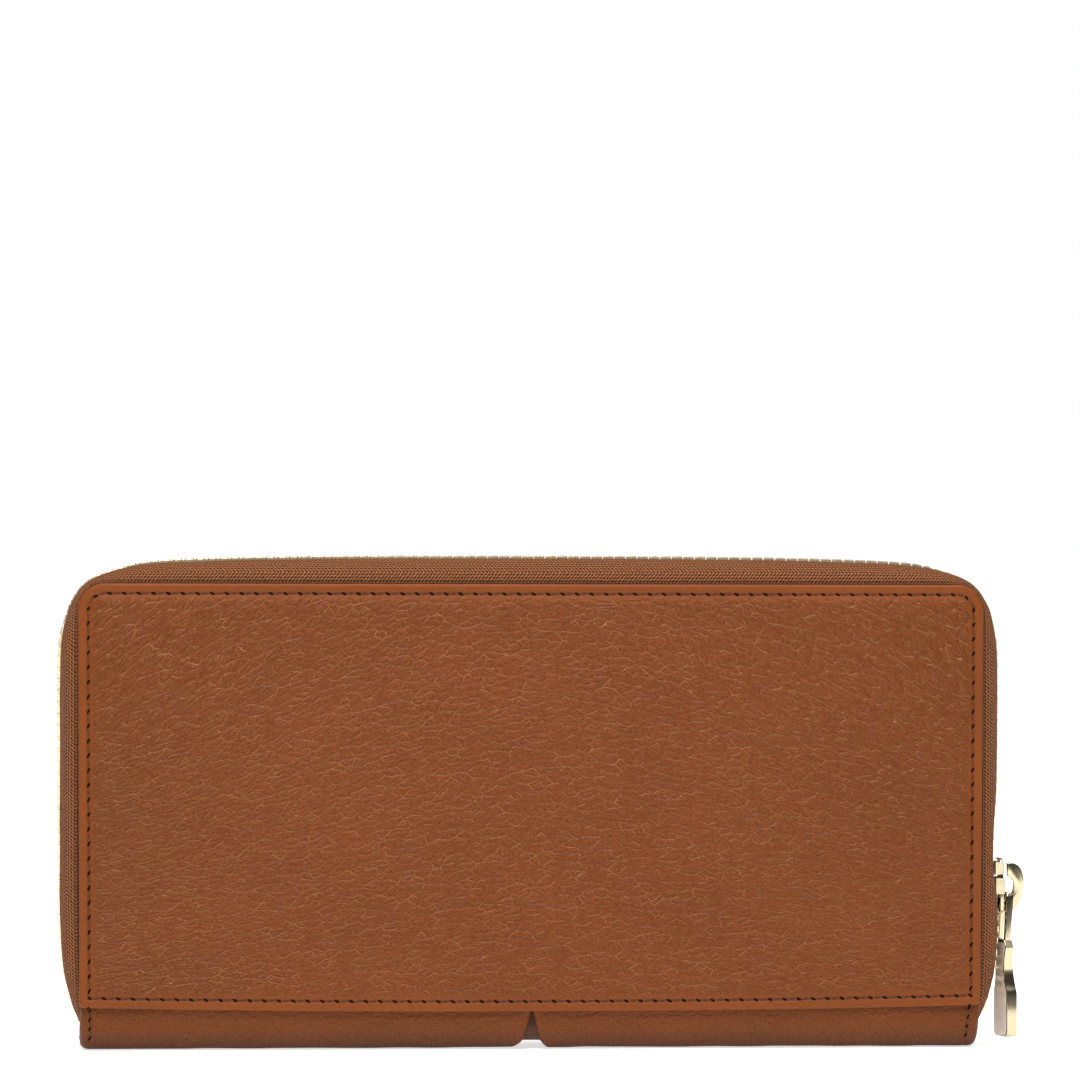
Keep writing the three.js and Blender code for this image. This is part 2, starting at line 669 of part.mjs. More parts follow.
function coinPuller() {
  const p = COIN_PULLER;
  const z = COIN_SLIDER.plateZ[1] + 0.25;
  const x0 = p.pivotX + p.bar / 2;
  const x1 = x0 - p.length;
  const plate = new THREE.Shape([
    new THREE.Vector2(x0, p.halfY),
    new THREE.Vector2(x1 + 1, p.halfY),
    new THREE.Vector2(x1, p.halfY - 1),
    new THREE.Vector2(x1, 1 - p.halfY),
    new THREE.Vector2(x1 + 1, -p.halfY),
    new THREE.Vector2(x0, -p.halfY),
  ]);
  const holeEnd = COIN_LUG.x[0] - 0.7;
  plate.holes.push(new THREE.Path([
    new THREE.Vector2(x0 - p.bar, p.innerHalfY),
    new THREE.Vector2(holeEnd, p.innerHalfY),
    new THREE.Vector2(holeEnd, -p.innerHalfY),
    new THREE.Vector2(x0 - p.bar, -p.innerHalfY),
  ]));
  return new THREE.ExtrudeGeometry(plate, { depth: p.thickness, bevelEnabled: false }).translate(0, 0, z);
}

addPart('coin_zip_slider', coinSlider(), PALE_GOLD, 1);
addPart('coin_zip_puller', coinPuller(), PALE_GOLD, 1);

// ---- gussets ----

function gusset(sideX, sideY) {
  const line = GUSSET_Y.map((y, i) => [GUSSET_X[(i + 1) % 2], sideY * y]);
  const geometry = new THREE.ExtrudeGeometry(
    new THREE.Shape(ribbon(line, GUSSET_THICKNESS).map(([x, y]) => new THREE.Vector2(x, y))),
    { depth: GUSSET_Z[1] - GUSSET_Z[0], bevelEnabled: false },
  );
  geometry.translate(0, 0, GUSSET_Z[0]);
  return mirrorX(geometry, sideX);
}

for (const [wordX, sideX] of [['left', -1], ['right', 1]]) {
  for (const [wordY, sideY] of [['back', -1], ['front', 1]]) {
    addPart(`gusset_${wordY}_${wordX}`, gusset(sideX, sideY), LINING_BROWN);
  }
}

// The frame's origin is under the middle of the overall box, which the hook makes wider at +X.
group.position.x = (ZIP_HALF_WIDTH - HOOK_REACH) / 2;

export default group;
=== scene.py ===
"""Zip around wallet: the looks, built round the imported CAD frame. Shapes are in millimetres, +Z up."""
import math

import bmesh
import bpy
import numpy as np
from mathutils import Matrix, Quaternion, Vector, noise


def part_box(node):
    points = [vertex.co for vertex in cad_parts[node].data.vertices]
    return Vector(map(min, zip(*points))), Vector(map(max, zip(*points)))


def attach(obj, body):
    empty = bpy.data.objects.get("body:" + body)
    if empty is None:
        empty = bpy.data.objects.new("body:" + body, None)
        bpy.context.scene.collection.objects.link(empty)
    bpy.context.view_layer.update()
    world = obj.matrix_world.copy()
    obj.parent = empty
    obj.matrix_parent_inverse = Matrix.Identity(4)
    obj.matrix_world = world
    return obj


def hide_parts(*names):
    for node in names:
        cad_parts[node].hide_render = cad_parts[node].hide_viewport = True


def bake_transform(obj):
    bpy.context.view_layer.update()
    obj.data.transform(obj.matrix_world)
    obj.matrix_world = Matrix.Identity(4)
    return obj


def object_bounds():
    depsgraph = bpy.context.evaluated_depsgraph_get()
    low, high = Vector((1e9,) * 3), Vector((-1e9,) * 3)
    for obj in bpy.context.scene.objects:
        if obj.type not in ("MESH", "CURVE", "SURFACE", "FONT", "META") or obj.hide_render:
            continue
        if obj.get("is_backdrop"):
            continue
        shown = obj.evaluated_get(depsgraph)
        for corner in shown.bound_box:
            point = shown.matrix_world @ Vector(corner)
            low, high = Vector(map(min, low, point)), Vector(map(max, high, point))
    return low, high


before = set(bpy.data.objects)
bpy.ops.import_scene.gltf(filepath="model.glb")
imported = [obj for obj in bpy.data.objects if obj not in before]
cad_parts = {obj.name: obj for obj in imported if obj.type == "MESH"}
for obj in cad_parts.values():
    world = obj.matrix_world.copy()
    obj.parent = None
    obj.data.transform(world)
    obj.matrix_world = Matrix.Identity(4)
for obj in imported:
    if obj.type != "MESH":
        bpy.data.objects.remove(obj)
CAD_LOW, CAD_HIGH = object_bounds()

MM = 0.001
panel_low, panel_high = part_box("back_panel_leather")
CENTRE_X = (panel_low.x + panel_high.x) / 2 / MM

# Camera: level, a little to the left of the wallet's own normal. Its target is an x and a z.
CAMERA_AZIMUTH = math.radians(-4.6)
CAMERA_DISTANCE = 1280
CAMERA_ROLL = math.radians(0.15)
CAMERA_TARGET = (2.2, 104.65)
FRAME_WIDTH = 223.8
SENSOR_WIDTH = 36.0

# Covers
COVER_HALF = (panel_high.x - panel_low.x) / 2 / MM
COVER_TOP = panel_high.z / MM
COVER_CORNER = 5.5
HEM_CORNER = 1.0
HEM_ENDS, HEM_MIDDLE = 8.8, panel_low.z / MM
PANEL_BACK = 10.4
BORDER_FACE = 11.45
STITCH_INSET = 2.05
STITCH_PITCH = 3.0
STITCH_SLANT = math.radians(33)
STITCH_REACH = 0.74  # half a needle hole's length
THREAD_RADIUS = 0.15
EDGE_ROLL = 0.55
GRID = 0.5

# Spine
SPINE_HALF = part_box("spine_leather_right")[1].x / MM - CENTRE_X
SPINE_Y, SPINE_RADIUS, SPINE_LEG_TOP, SPINE_LEATHER = 10.2, 5.0, 11.0, 1.2

# Zip
TAPE_HIDDEN = 3.6
TAPE_BACK_Y, TAPE_CHAIN_Y = 9.8, 1.7
TAPE_THICKNESS = 0.6
TOOTH_PITCH = 2.4


# ---- meshes ----

def piece(name, shape, material, body=None, replaces=(), crease=40, attributes=None):
    """A new object from (points in mm, faces), riding on a body and standing for CAD nodes."""
    points = (np.array(shape[0], float) + [CENTRE_X, 0, 0]) * MM
    mesh = bpy.data.meshes.new(name)
    mesh.from_pydata(points.tolist(), [], [list(map(int, f)) for f in shape[1]])
    bm = bmesh.new()
    bm.from_mesh(mesh)
    bmesh.ops.recalc_face_normals(bm, faces=bm.faces)
    bm.to_mesh(mesh)
    bm.free()
    mesh.shade_smooth()
    mesh.set_sharp_from_angle(angle=math.radians(crease))
    for key, values in (attributes or {}).items():
        values = np.asarray(values, np.float32)
        kind, field = ("FLOAT", "value") if values.ndim == 1 else ("FLOAT_VECTOR", "vector")
        mesh.attributes.new(key, kind, "POINT").data.foreach_set(field, values.ravel())
    mesh.materials.append(material)
    obj = bpy.data.objects.new(name, mesh)
    bpy.context.scene.collection.objects.link(obj)
    if body:
        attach(obj, body)
    if replaces:
        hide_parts(*replaces)
    return obj


def quads(index):
    a, b = index[:-1, :-1].ravel(), index[1:, :-1].ravel()
    c, d = index[1:, 1:].ravel(), index[:-1, 1:].ravel()
    return np.stack([a, b, c, d], axis=1).tolist()


def rim_of(index):
    """The border of a grid of indices, once round."""
    return np.concatenate([index[0, :-1], index[:-1, -1], index[-1, :0:-1], index[:0:-1, 0]])


def shell(outer, inner):
    """A closed shell between two grids of points of the same shape."""
    rows, columns = outer.shape[:2]
    index = np.arange(rows * columns).reshape(rows, columns)
    back = index + rows * columns
    a, b = rim_of(index), rim_of(back)
    sides = np.stack([a, np.roll(a, -1), np.roll(b, -1), b], axis=1).tolist()
    faces = quads(index) + [f[::-1] for f in quads(back)] + sides
    return np.concatenate([outer.reshape(-1, 3), inner.reshape(-1, 3)]), faces


def merged(shapes):
    points, faces, n = [], [], 0
    for p, f in shapes:
        points.append(np.asarray(p, float).reshape(-1, 3))
        faces += [[i + n for i in face] for face in f]
        n += len(points[-1])
    return np.concatenate(points), faces


def normals_of(grid):
    down = np.gradient(grid, axis=0)
    along = np.gradient(grid, axis=1)
    n = np.cross(down, along)
    return n / np.maximum(np.linalg.norm(n, axis=2, keepdims=True), 1e-9)


def ringed(points, sides):
    """A closed solid from rings that have the same number of points."""
    index = np.arange(len(points)).reshape(-1, sides)
    index = np.concatenate([index, index[:, :1]], axis=1)
    return points, quads(index) + [index[0, :-1].tolist()[::-1], index[-1, :-1].tolist()]


def tube(path, radii, sides=6):
    """A closed tube along a path, with a radius for each point."""
    path = np.asarray(path, float)
    radii = np.broadcast_to(radii, len(path))
    tangents = np.gradient(path, axis=0)
    tangents /= np.maximum(np.linalg.norm(tangents, axis=1, keepdims=True), 1e-9)
    guide = np.array([0.0, 1.0, 0.0])
    if abs(tangents[0] @ guide) > 0.9:
        guide = np.array([0.0, 0.0, 1.0])
    angles = np.arange(sides) * 2 * math.pi / sides
    rings = []
    for p, t, r in zip(path, tangents, radii):
        u = np.cross(t, guide)
        u /= np.linalg.norm(u)
        guide = np.cross(u, t)
        rings.append(p + r * (np.cos(angles)[:, None] * u + np.sin(angles)[:, None] * guide))
    return ringed(np.concatenate(rings), sides)


def inset(outline, amount):
    """A closed 2-D outline moved inwards, by its corners' mitres."""
    p = np.asarray(outline, float)
    before, after = p - np.roll(p, 1, axis=0), np.roll(p, -1, axis=0) - p
    area = (p[:, 0] * np.roll(p[:, 1], -1) - p[:, 1] * np.roll(p[:, 0], -1)).sum()
    side = 1 if area > 0 else -1

    def left(v):
        v = v / np.linalg.norm(v, axis=1, keepdims=True)
        return np.stack([-v[:, 1], v[:, 0]], axis=1) * side

    a, b = left(before), left(after)
    mitre = a + b
    mitre /= np.maximum(1 + (a * b).sum(axis=1, keepdims=True), 0.35)
    return p + mitre * amount


def prism(outline, low, high, bevel, place, steps=3):
    """A prism with rounded edges over an outline. place(a, b, w) gives the point in mm."""
    rings = []
    turns = [i / steps * math.pi / 2 for i in range(steps + 1)]
    for t in turns:
        rings.append((inset(outline, bevel * (1 - math.sin(t))), low + bevel * (1 - math.cos(t))))
    for t in reversed(turns):
        rings.append((inset(outline, bevel * (1 - math.sin(t))), high - bevel * (1 - math.cos(t))))
    return ringed(np.array([place(a, b, w) for ring, w in rings for a, b in ring]), len(outline))


def rectangle(left, right, low, high):
    return [(left, low), (right, low), (right, high), (left, high)]


def mirrored(half):
    """An outline from its right half, taken in order."""
    return half + [(-a, b) for a, b in half[::-1]]


def arc(cx, cy, radius, start, end, steps):
    turns = np.radians(np.linspace(start, end, steps + 1))
    return [(cx + radius * math.cos(t), cy + radius * math.sin(t)) for t in turns]


def spline(keys, per=10):
    """Catmull-Rom through the rows of keys."""
    k = np.asarray(keys, float)
    k = np.concatenate([[2 * k[0] - k[1]], k, [2 * k[-1] - k[-2]]])
    out = []
    for i in range(1, len(k) - 2):
        a, b, c, d = k[i - 1:i + 3]
        for t in np.arange(per) / per:
            out.append(0.5 * (2 * b + (c - a) * t + (2 * a - 5 * b + 4 * c - d) * t * t
                              + (3 * b - a - 3 * c + d) * t ** 3))
    return np.array(out + [k[-2]])


def evenly(points, step, by=2):
    """Points at equal steps along a path; only the first `by` columns count as length."""
    lengths = np.linalg.norm(np.diff(points[:, :by], axis=0), axis=1)
    along = np.concatenate([[0], np.cumsum(lengths)])
    count = max(2, int(round(along[-1] / step)) + 1)
    at = np.linspace(0, along[-1], count)
    return np.stack([np.interp(at, along, points[:, k]) for k in range(points.shape[1])], axis=1)


def smooth(x, low, high):
    t = np.clip((np.asarray(x, float) - low) / (high - low), 0, 1)
    return t * t * (3 - 2 * t)


def rolling(points, size, seed=0.0):
    """Slow smooth noise, about -1 to 1, at each point."""
    shift = Vector((seed, seed * 1.7, seed * 0.3))
    return np.array([noise.noise(Vector(p) / size + shift) for p in np.asarray(points).reshape(-1, 3)])


# ---- materials ----

def put(tree, socket, value):
    """Links a socket to another one's value, or sets a constant on it."""
    if isinstance(value, bpy.types.NodeSocket):
        tree.links.new(value, socket)
    else:
        socket.default_value = value


def node(tree, kind, inputs=None, **settings):
    """A node with its settings and inputs, which are constants or other nodes' sockets."""
    n = tree.nodes.new(kind)
    for key, value in settings.items():
        setattr(n, key, value)
    for key, value in (inputs or {}).items():
        put(tree, n.inputs[key], value)
    return n


def maths(tree, operation, a, b=0.0, clamp=False):
    return node(tree, "ShaderNodeMath", {0: a, 1: b}, operation=operation, use_clamp=clamp).outputs[0]


def times(tree, a, b, clamp=False):
    return maths(tree, "MULTIPLY", a, b, clamp)


def plus(tree, a, b):
    return maths(tree, "ADD", a, b)


def vectors(tree, operation, a, b=(0, 0, 0)):
    return node(tree, "ShaderNodeVectorMath", {0: a, 1: b}, operation=operation).outputs[0]


def ramp(tree, value, low, high, to_low=0.0, to_high=1.0, interpolation="SMOOTHSTEP"):
    return node(tree, "ShaderNodeMapRange", {0: value, 1: low, 2: high, 3: to_low, 4: to_high},
                interpolation_type=interpolation).outputs[0]


def noise_of(tree, vector, scale, detail=2.0, roughness=0.5, output=0):
    return node(tree, "ShaderNodeTexNoise",
                {"Vector": vector, "Scale": scale, "Detail": detail, "Roughness": roughness}).outputs[output]


WARP = 1.3  # how far the grain's cells are pushed out of true
BIG_CELLS = (0.58, 0.075, 0.11)  # cells to a grain unit, step between the two samples, width of a crease
SMALL_CELLS = (1.15, 0.06, 0.2)
SMALL_LIT, SMALL_SHADED = 0.36, 0.5


def grain_nodes(tree, vector):
    """The pebbled grain, for the material and the mesh alike: (pebble height, lit crease, shaded crease)."""
    shift = vectors(tree, "SUBTRACT", noise_of(tree, vector, 0.42, 3.0, 0.6, 1), (0.5, 0.5, 0.5))
    wide = node(tree, "ShaderNodeVectorMath", {0: shift, "Scale": WARP}, operation="SCALE").outputs[0]
    moved = vectors(tree, "ADD", vector, wide)
    gate = ramp(tree, noise_of(tree, vector, 0.40, 2.0), 0.36, 0.58, 0.1, 1.0)

    def cells_at(place, scale):
        return node(tree, "ShaderNodeTexVoronoi", {"Vector": place, "Scale": scale, "Randomness": 1.0},
                    voronoi_dimensions="2D", feature="DISTANCE_TO_EDGE").outputs["Distance"]

    def creases(scale, reach, width):
        """Cell edges, lit on the side that faces up and dark on the other, faint where they run upright."""
        here = cells_at(moved, scale)
        above = cells_at(vectors(tree, "ADD", moved, (0.0, reach, 0.0)), scale)
        slope = maths(tree, "DIVIDE", maths(tree, "SUBTRACT", here, above), reach * scale)
        near = ramp(tree, here, 0.0, width, 1.0, 0.0)
        lit = times(tree, ramp(tree, slope, 0.1, 0.65), near)
        shaded = times(tree, ramp(tree, slope, -0.25, -0.9), near)
        return here, lit, shaded

    big, lit, shaded = creases(*BIG_CELLS)
    small, fine_lit, fine_shaded = creases(*SMALL_CELLS)
    lit = times(tree, maths(tree, "MAXIMUM", lit, times(tree, fine_lit, SMALL_LIT)), gate)
    shaded = times(tree, maths(tree, "MAXIMUM", shaded, times(tree, fine_shaded, SMALL_SHADED)), gate)
    large = times(tree, ramp(tree, big, 0.0, 0.32), 0.7)
    fine = times(tree, ramp(tree, small, 0.0, 0.35), 0.3)
    return plus(tree, large, fine), lit, shaded


def material(name, colour):
    m = bpy.data.materials.new(name)
    m.use_nodes = True
    tree = m.node_tree
    shader = tree.nodes["Principled BSDF"]
    shader.inputs["Base Color"].default_value = (*colour, 1)
    m.diffuse_color = (*colour, 1)
    return m, tree, shader


def mixed(tree, amount, a, b, blend="MIX"):
    made = node(tree, "ShaderNodeMix", {0: amount}, data_type="RGBA", blend_type=blend)
    for index, colour in ((6, a), (7, b)):
        put(tree, made.inputs[index], (*colour, 1) if isinstance(colour, tuple) else colour)
    return made.outputs[2]


def scaled(colour, factor):
    return tuple(c * factor for c in colour)


def attribute(tree, name, output="Fac"):
    return node(tree, "ShaderNodeAttribute", attribute_name=name).outputs[output]


def object_place(tree):
    return node(tree, "ShaderNodeTexCoord").outputs["Object"]


def painted(tree, shader, base, roughness, specular=0.5):
    put(tree, shader.inputs["Base Color"], base)
    put(tree, shader.inputs["Roughness"], roughness)
    shader.inputs["Specular IOR Level"].default_value = specular


def bumped(tree, shader, height, strength, distance):
    n = node(tree, "ShaderNodeBump", {"Height": height, "Strength": strength, "Distance": distance})
    tree.links.new(n.outputs[0], shader.inputs["Normal"])


def leather(name, colour, lines_amount, roughness=0.5, bump=0.8):
    """Leather with pores, painted shade in the hollows between its pebbles, and creases with a painted
    highlight on the side that faces up and painted shade on the other.

    The inner attribute says how strongly the pebbles show, and the shade attribute is painted shade that
    darkens towards black."""
    m, tree, shader = material(name, colour)
    grain = attribute(tree, "grain", "Vector")
    inner = attribute(tree, "inner")
    shade = attribute(tree, "shade")
    pebble, lit, shaded = grain_nodes(tree, grain)
    seen = times(tree, times(tree, lit, inner), lines_amount)
    dark = times(tree, times(tree, shaded, inner), lines_amount * 0.8)
    cloud = noise_of(tree, grain, 0.05, 3.0)
    even = vectors(tree, "MULTIPLY", grain, (1.5, 1.15, 1.0))
    fine = noise_of(tree, even, 1.5, 3.0, 0.75)
    base = mixed(tree, ramp(tree, cloud, 0.3, 0.7), scaled(colour, 0.93), scaled(colour, 1.04))
    speck = mixed(tree, inner, (0.80, 0.80, 0.80), (0.56, 0.54, 0.52))
    base = mixed(tree, ramp(tree, fine, 0.62, 0.36, interpolation="LINEAR"), base, speck, "MULTIPLY")
    # painted shade: darker in the hollows between the pebbles and on the creases' side that faces down
    hollow_shade = times(tree, maths(tree, "SUBTRACT", 1.0, pebble), times(tree, inner, 0.35))
    base = mixed(tree, hollow_shade, base, scaled(colour, 0.60))
    base = mixed(tree, dark, base, scaled(colour, 0.45))
    # painted highlight: the creases' side that faces up, far lighter than the leather
    painted_highlight = (colour[0] * 2.45, colour[1] * 4.7, colour[2] * 15.0)
    base = mixed(tree, seen, base, painted_highlight)
    base = mixed(tree, shade, base, (0.0, 0.0, 0.0))
    painted(tree, shader, base, plus(tree, times(tree, fine, 0.2), roughness - 0.1), 0.14)
    height = maths(tree, "SUBTRACT", times(tree, fine, 0.35), times(tree, seen, 0.2))
    height = plus(tree, height, times(tree, times(tree, pebble, inner), 0.6))
    bumped(tree, shader, height, bump, 0.0005)
    return m


def cloth(name, colour, pitch, depth, roughness=0.85, across=None, sheen=0.2, contrast=(0.45, 1.5)):
    """A twill: ribs that run slantwise over the weave attribute and turn back at each stripe.

    The attribute's z is painted shade, stronger on the ribs and fainter between them. A stripe is across
    wide, and contrast holds the darkest and lightest share."""
    m, tree, shader = material(name, colour)
    weave = attribute(tree, "weave", "Vector")
    wobble = noise_of(tree, weave, 0.9, 2.0)
    parts = node(tree, "ShaderNodeSeparateXYZ", {0: weave})
    along, over, shade = parts.outputs[0], parts.outputs[1], parts.outputs[2]
    fold = maths(tree, "PINGPONG", over, across) if across else over
    slant = plus(tree, plus(tree, along, times(tree, fold, 0.75)), times(tree, wobble, pitch * 0.7))
    rib = maths(tree, "SINE", times(tree, slant, 2 * math.pi / pitch))
    yarn = maths(tree, "SINE", times(tree, over, 2 * math.pi / (pitch * 0.9)))
    weft = plus(tree, times(tree, rib, 0.32), times(tree, yarn, 0.22))
    fuzz = noise_of(tree, weave, 2.4, 3.0, 0.7)
    level = plus(tree, plus(tree, weft, 0.30), times(tree, fuzz, 0.45))
    dark, light = (scaled(colour, share) for share in contrast)
    base = mixed(tree, ramp(tree, level, 0.15, 0.9, interpolation="LINEAR"), dark, light)
    # painted shade from the weave's z, stronger on the ribs and fainter between them
    shade_by_rib = plus(tree, times(tree, rib, 0.35), 0.65)
    base = mixed(tree, times(tree, shade, shade_by_rib, True), base, scaled(colour, 0.16))
    painted(tree, shader, base, roughness, 0.2)
    shader.inputs["Sheen Weight"].default_value = sheen
    bumped(tree, shader, level, 0.9, depth)
    return m


def metal(name, colour, roughness=0.16, metallic=1.0):
    m, tree, shader = material(name, colour)
    place = object_place(tree)
    brushed = noise_of(tree, place, 900.0, 2.0)
    marks = noise_of(tree, place, 160.0, 3.0)
    base = mixed(tree, ramp(tree, marks, 0.35, 0.7), scaled(colour, 0.93), scaled(colour, 1.04))
    painted(tree, shader, base, plus(tree, times(tree, brushed, 0.10), roughness - 0.05))
    shader.inputs["Metallic"].default_value = metallic
    bumped(tree, shader, marks, 0.12, 0.00005)
    return m


def card(name, colour):
    m, tree, shader = material(name, colour)
    place = object_place(tree)
    pulp = noise_of(tree, place, 700.0, 4.0, 0.7)
    base = mixed(tree, ramp(tree, pulp, 0.3, 0.7), scaled(colour, 0.8), scaled(colour, 1.15))
    painted(tree, shader, base, 0.9)
    bumped(tree, shader, pulp, 0.3, 0.0001)
    return m


def thread(name, colour, roughness=0.6):
    m, tree, shader = material(name, colour)
    place = object_place(tree)
    twist = node(tree, "ShaderNodeTexWave", {"Vector": place, "Scale": 1400.0, "Distortion": 1.0},
                 bands_direction="DIAGONAL").outputs[1]
    base = mixed(tree, twist, scaled(colour, 0.7), scaled(colour, 1.25))
    painted(tree, shader, base, roughness, 0.1)
    bumped(tree, shader, twist, 0.4, 0.00004)
    return m


TAN = (0.166, 0.0395, 0.0047)
PEBBLED = leather("pebbled_tan", TAN, 0.68)
SMOOTH = leather("smooth_tan", (TAN[0] * 0.93, TAN[1] * 1.0, TAN[2] * 1.3), 0.2, 0.55, 0.5)
DARK = leather("dark_brown", (0.085, 0.034, 0.018), 0.2, 0.6, 0.4)
TAPE = cloth("tape_twill", (0.158, 0.054, 0.0175), 0.74, 0.0004, 0.9, 2.1, 0.0, (0.12, 1.75))
LINING = cloth("lining_twill", (0.110, 0.052, 0.030), 0.9, 0.00006, 0.75, None, 0.3, (0.8, 1.2))
COIN_TAPE = cloth("coin_tape_twill", (0.075, 0.036, 0.022), 0.6, 0.00008, 0.8, 1.8, 0.2, (0.7, 1.3))
GOLD = metal("pale_gold", (0.45, 0.385, 0.25), 0.13)
SATIN = metal("satin_gold", (0.80, 0.67, 0.56), 0.33, 0.2)
TEETH = metal("tooth_gold", (0.92, 0.78, 0.52), 0.32)
BOARD = card("grey_card", (0.26, 0.23, 0.19))
COIL = card("coil_nylon", (0.060, 0.030, 0.020))
# painted shade: matt near-black dashes that stand for the shadow inside the needle holes
HOLE_SHADE = thread("stitch_hole", (0.004, 0.003, 0.003), 1.0)
THREAD = thread("stitch_thread", (0.080, 0.032, 0.018), 0.75)


# ---- covers ----

def grain_at(points, mirror=1):
    """Grain coordinates: the creases of the hide run in wide arcs over the panel."""
    p = np.asarray(points, float).reshape(-1, 3)
    x, z = p[:, 0] * mirror, p[:, 2]
    arch = smooth(z, -5, 80) * 0.0048 + 0.0002
    out = np.zeros_like(p)
    out[:, 0] = x * 0.68
    out[:, 1] = (z + p[:, 1] + arch * x * x) * 0.98
    return out


def probe(points):
    """The pebble height of the leather's own nodes at these grain coordinates."""
    mesh = bpy.data.meshes.new("probe")
    mesh.from_pydata(np.asarray(points).tolist(), [], [])
    obj = bpy.data.objects.new("probe", mesh)
    bpy.context.scene.collection.objects.link(obj)
    tree = bpy.data.node_groups.new("probe", "GeometryNodeTree")
    tree.interface.new_socket("Geometry", in_out="INPUT", socket_type="NodeSocketGeometry")
    tree.interface.new_socket("Geometry", in_out="OUTPUT", socket_type="NodeSocketGeometry")
    start = node(tree, "NodeGroupInput").outputs[0]
    height = grain_nodes(tree, node(tree, "GeometryNodeInputPosition").outputs[0])[0]
    store = node(tree, "GeometryNodeStoreNamedAttribute",
                 {"Geometry": start, "Name": "height", "Value": height}, data_type="FLOAT", domain="POINT")
    node(tree, "NodeGroupOutput", {0: store.outputs[0]})
    obj.modifiers.new("probe", "NODES").node_group = tree
    seen = obj.evaluated_get(bpy.context.evaluated_depsgraph_get()).data
    out = np.zeros(len(points), np.float32)
    seen.attributes["height"].data.foreach_get("value", out)
    bpy.data.objects.remove(obj)
    bpy.data.meshes.remove(mesh)
    bpy.data.node_groups.remove(tree)
    return out.astype(float)


EDGE_STEPS = [  # grid lines from the edge inwards, closer over the rolled edge and the stitch groove
    0, 0.06, 0.18, 0.35, 0.55, 0.85, 1.2, 1.5, 1.7, 1.88, 2.05, 2.22, 2.4, 2.65, 3.0, 3.4, 3.9, 4.4, 4.95,
]


def lines_between(low, high):
    middle = high - low - 2 * EDGE_STEPS[-1]
    count = max(1, int(round(middle / GRID)))
    inner = EDGE_STEPS[-1] + np.arange(1, count) * middle / count
    return low + np.concatenate([EDGE_STEPS, inner, (high - low) - np.array(EDGE_STEPS[::-1])])


def cover_profile(u):
    """How far the leather stands from PANEL_BACK, by the distance u from its edge."""
    u = np.asarray(u, float)
    face = BORDER_FACE - PANEL_BACK
    near = np.clip(u, 0, EDGE_ROLL)
    roll = EDGE_ROLL - np.sqrt(np.maximum(EDGE_ROLL ** 2 - (EDGE_ROLL - near) ** 2, 0))
    border = 0.10 * np.sin(math.pi * np.clip(u / STITCH_INSET, 0, 1))
    groove = -0.30 * np.exp(-((u - STITCH_INSET) / 0.34) ** 2)
    puff = 0.34 * smooth(u, STITCH_INSET, STITCH_INSET + 2.6) + 0.30 * smooth(u, 4, 30)
    return face - roll + border + groove + puff


def hem_drop(x, z, low):
    """The hem's bow: how far a point near the hem moves down towards the middle."""
    bow = (HEM_ENDS - HEM_MIDDLE) * (1 - (np.abs(x) / COVER_HALF) ** 2.2)
    return bow * (1 - smooth(z, low, low + 26))


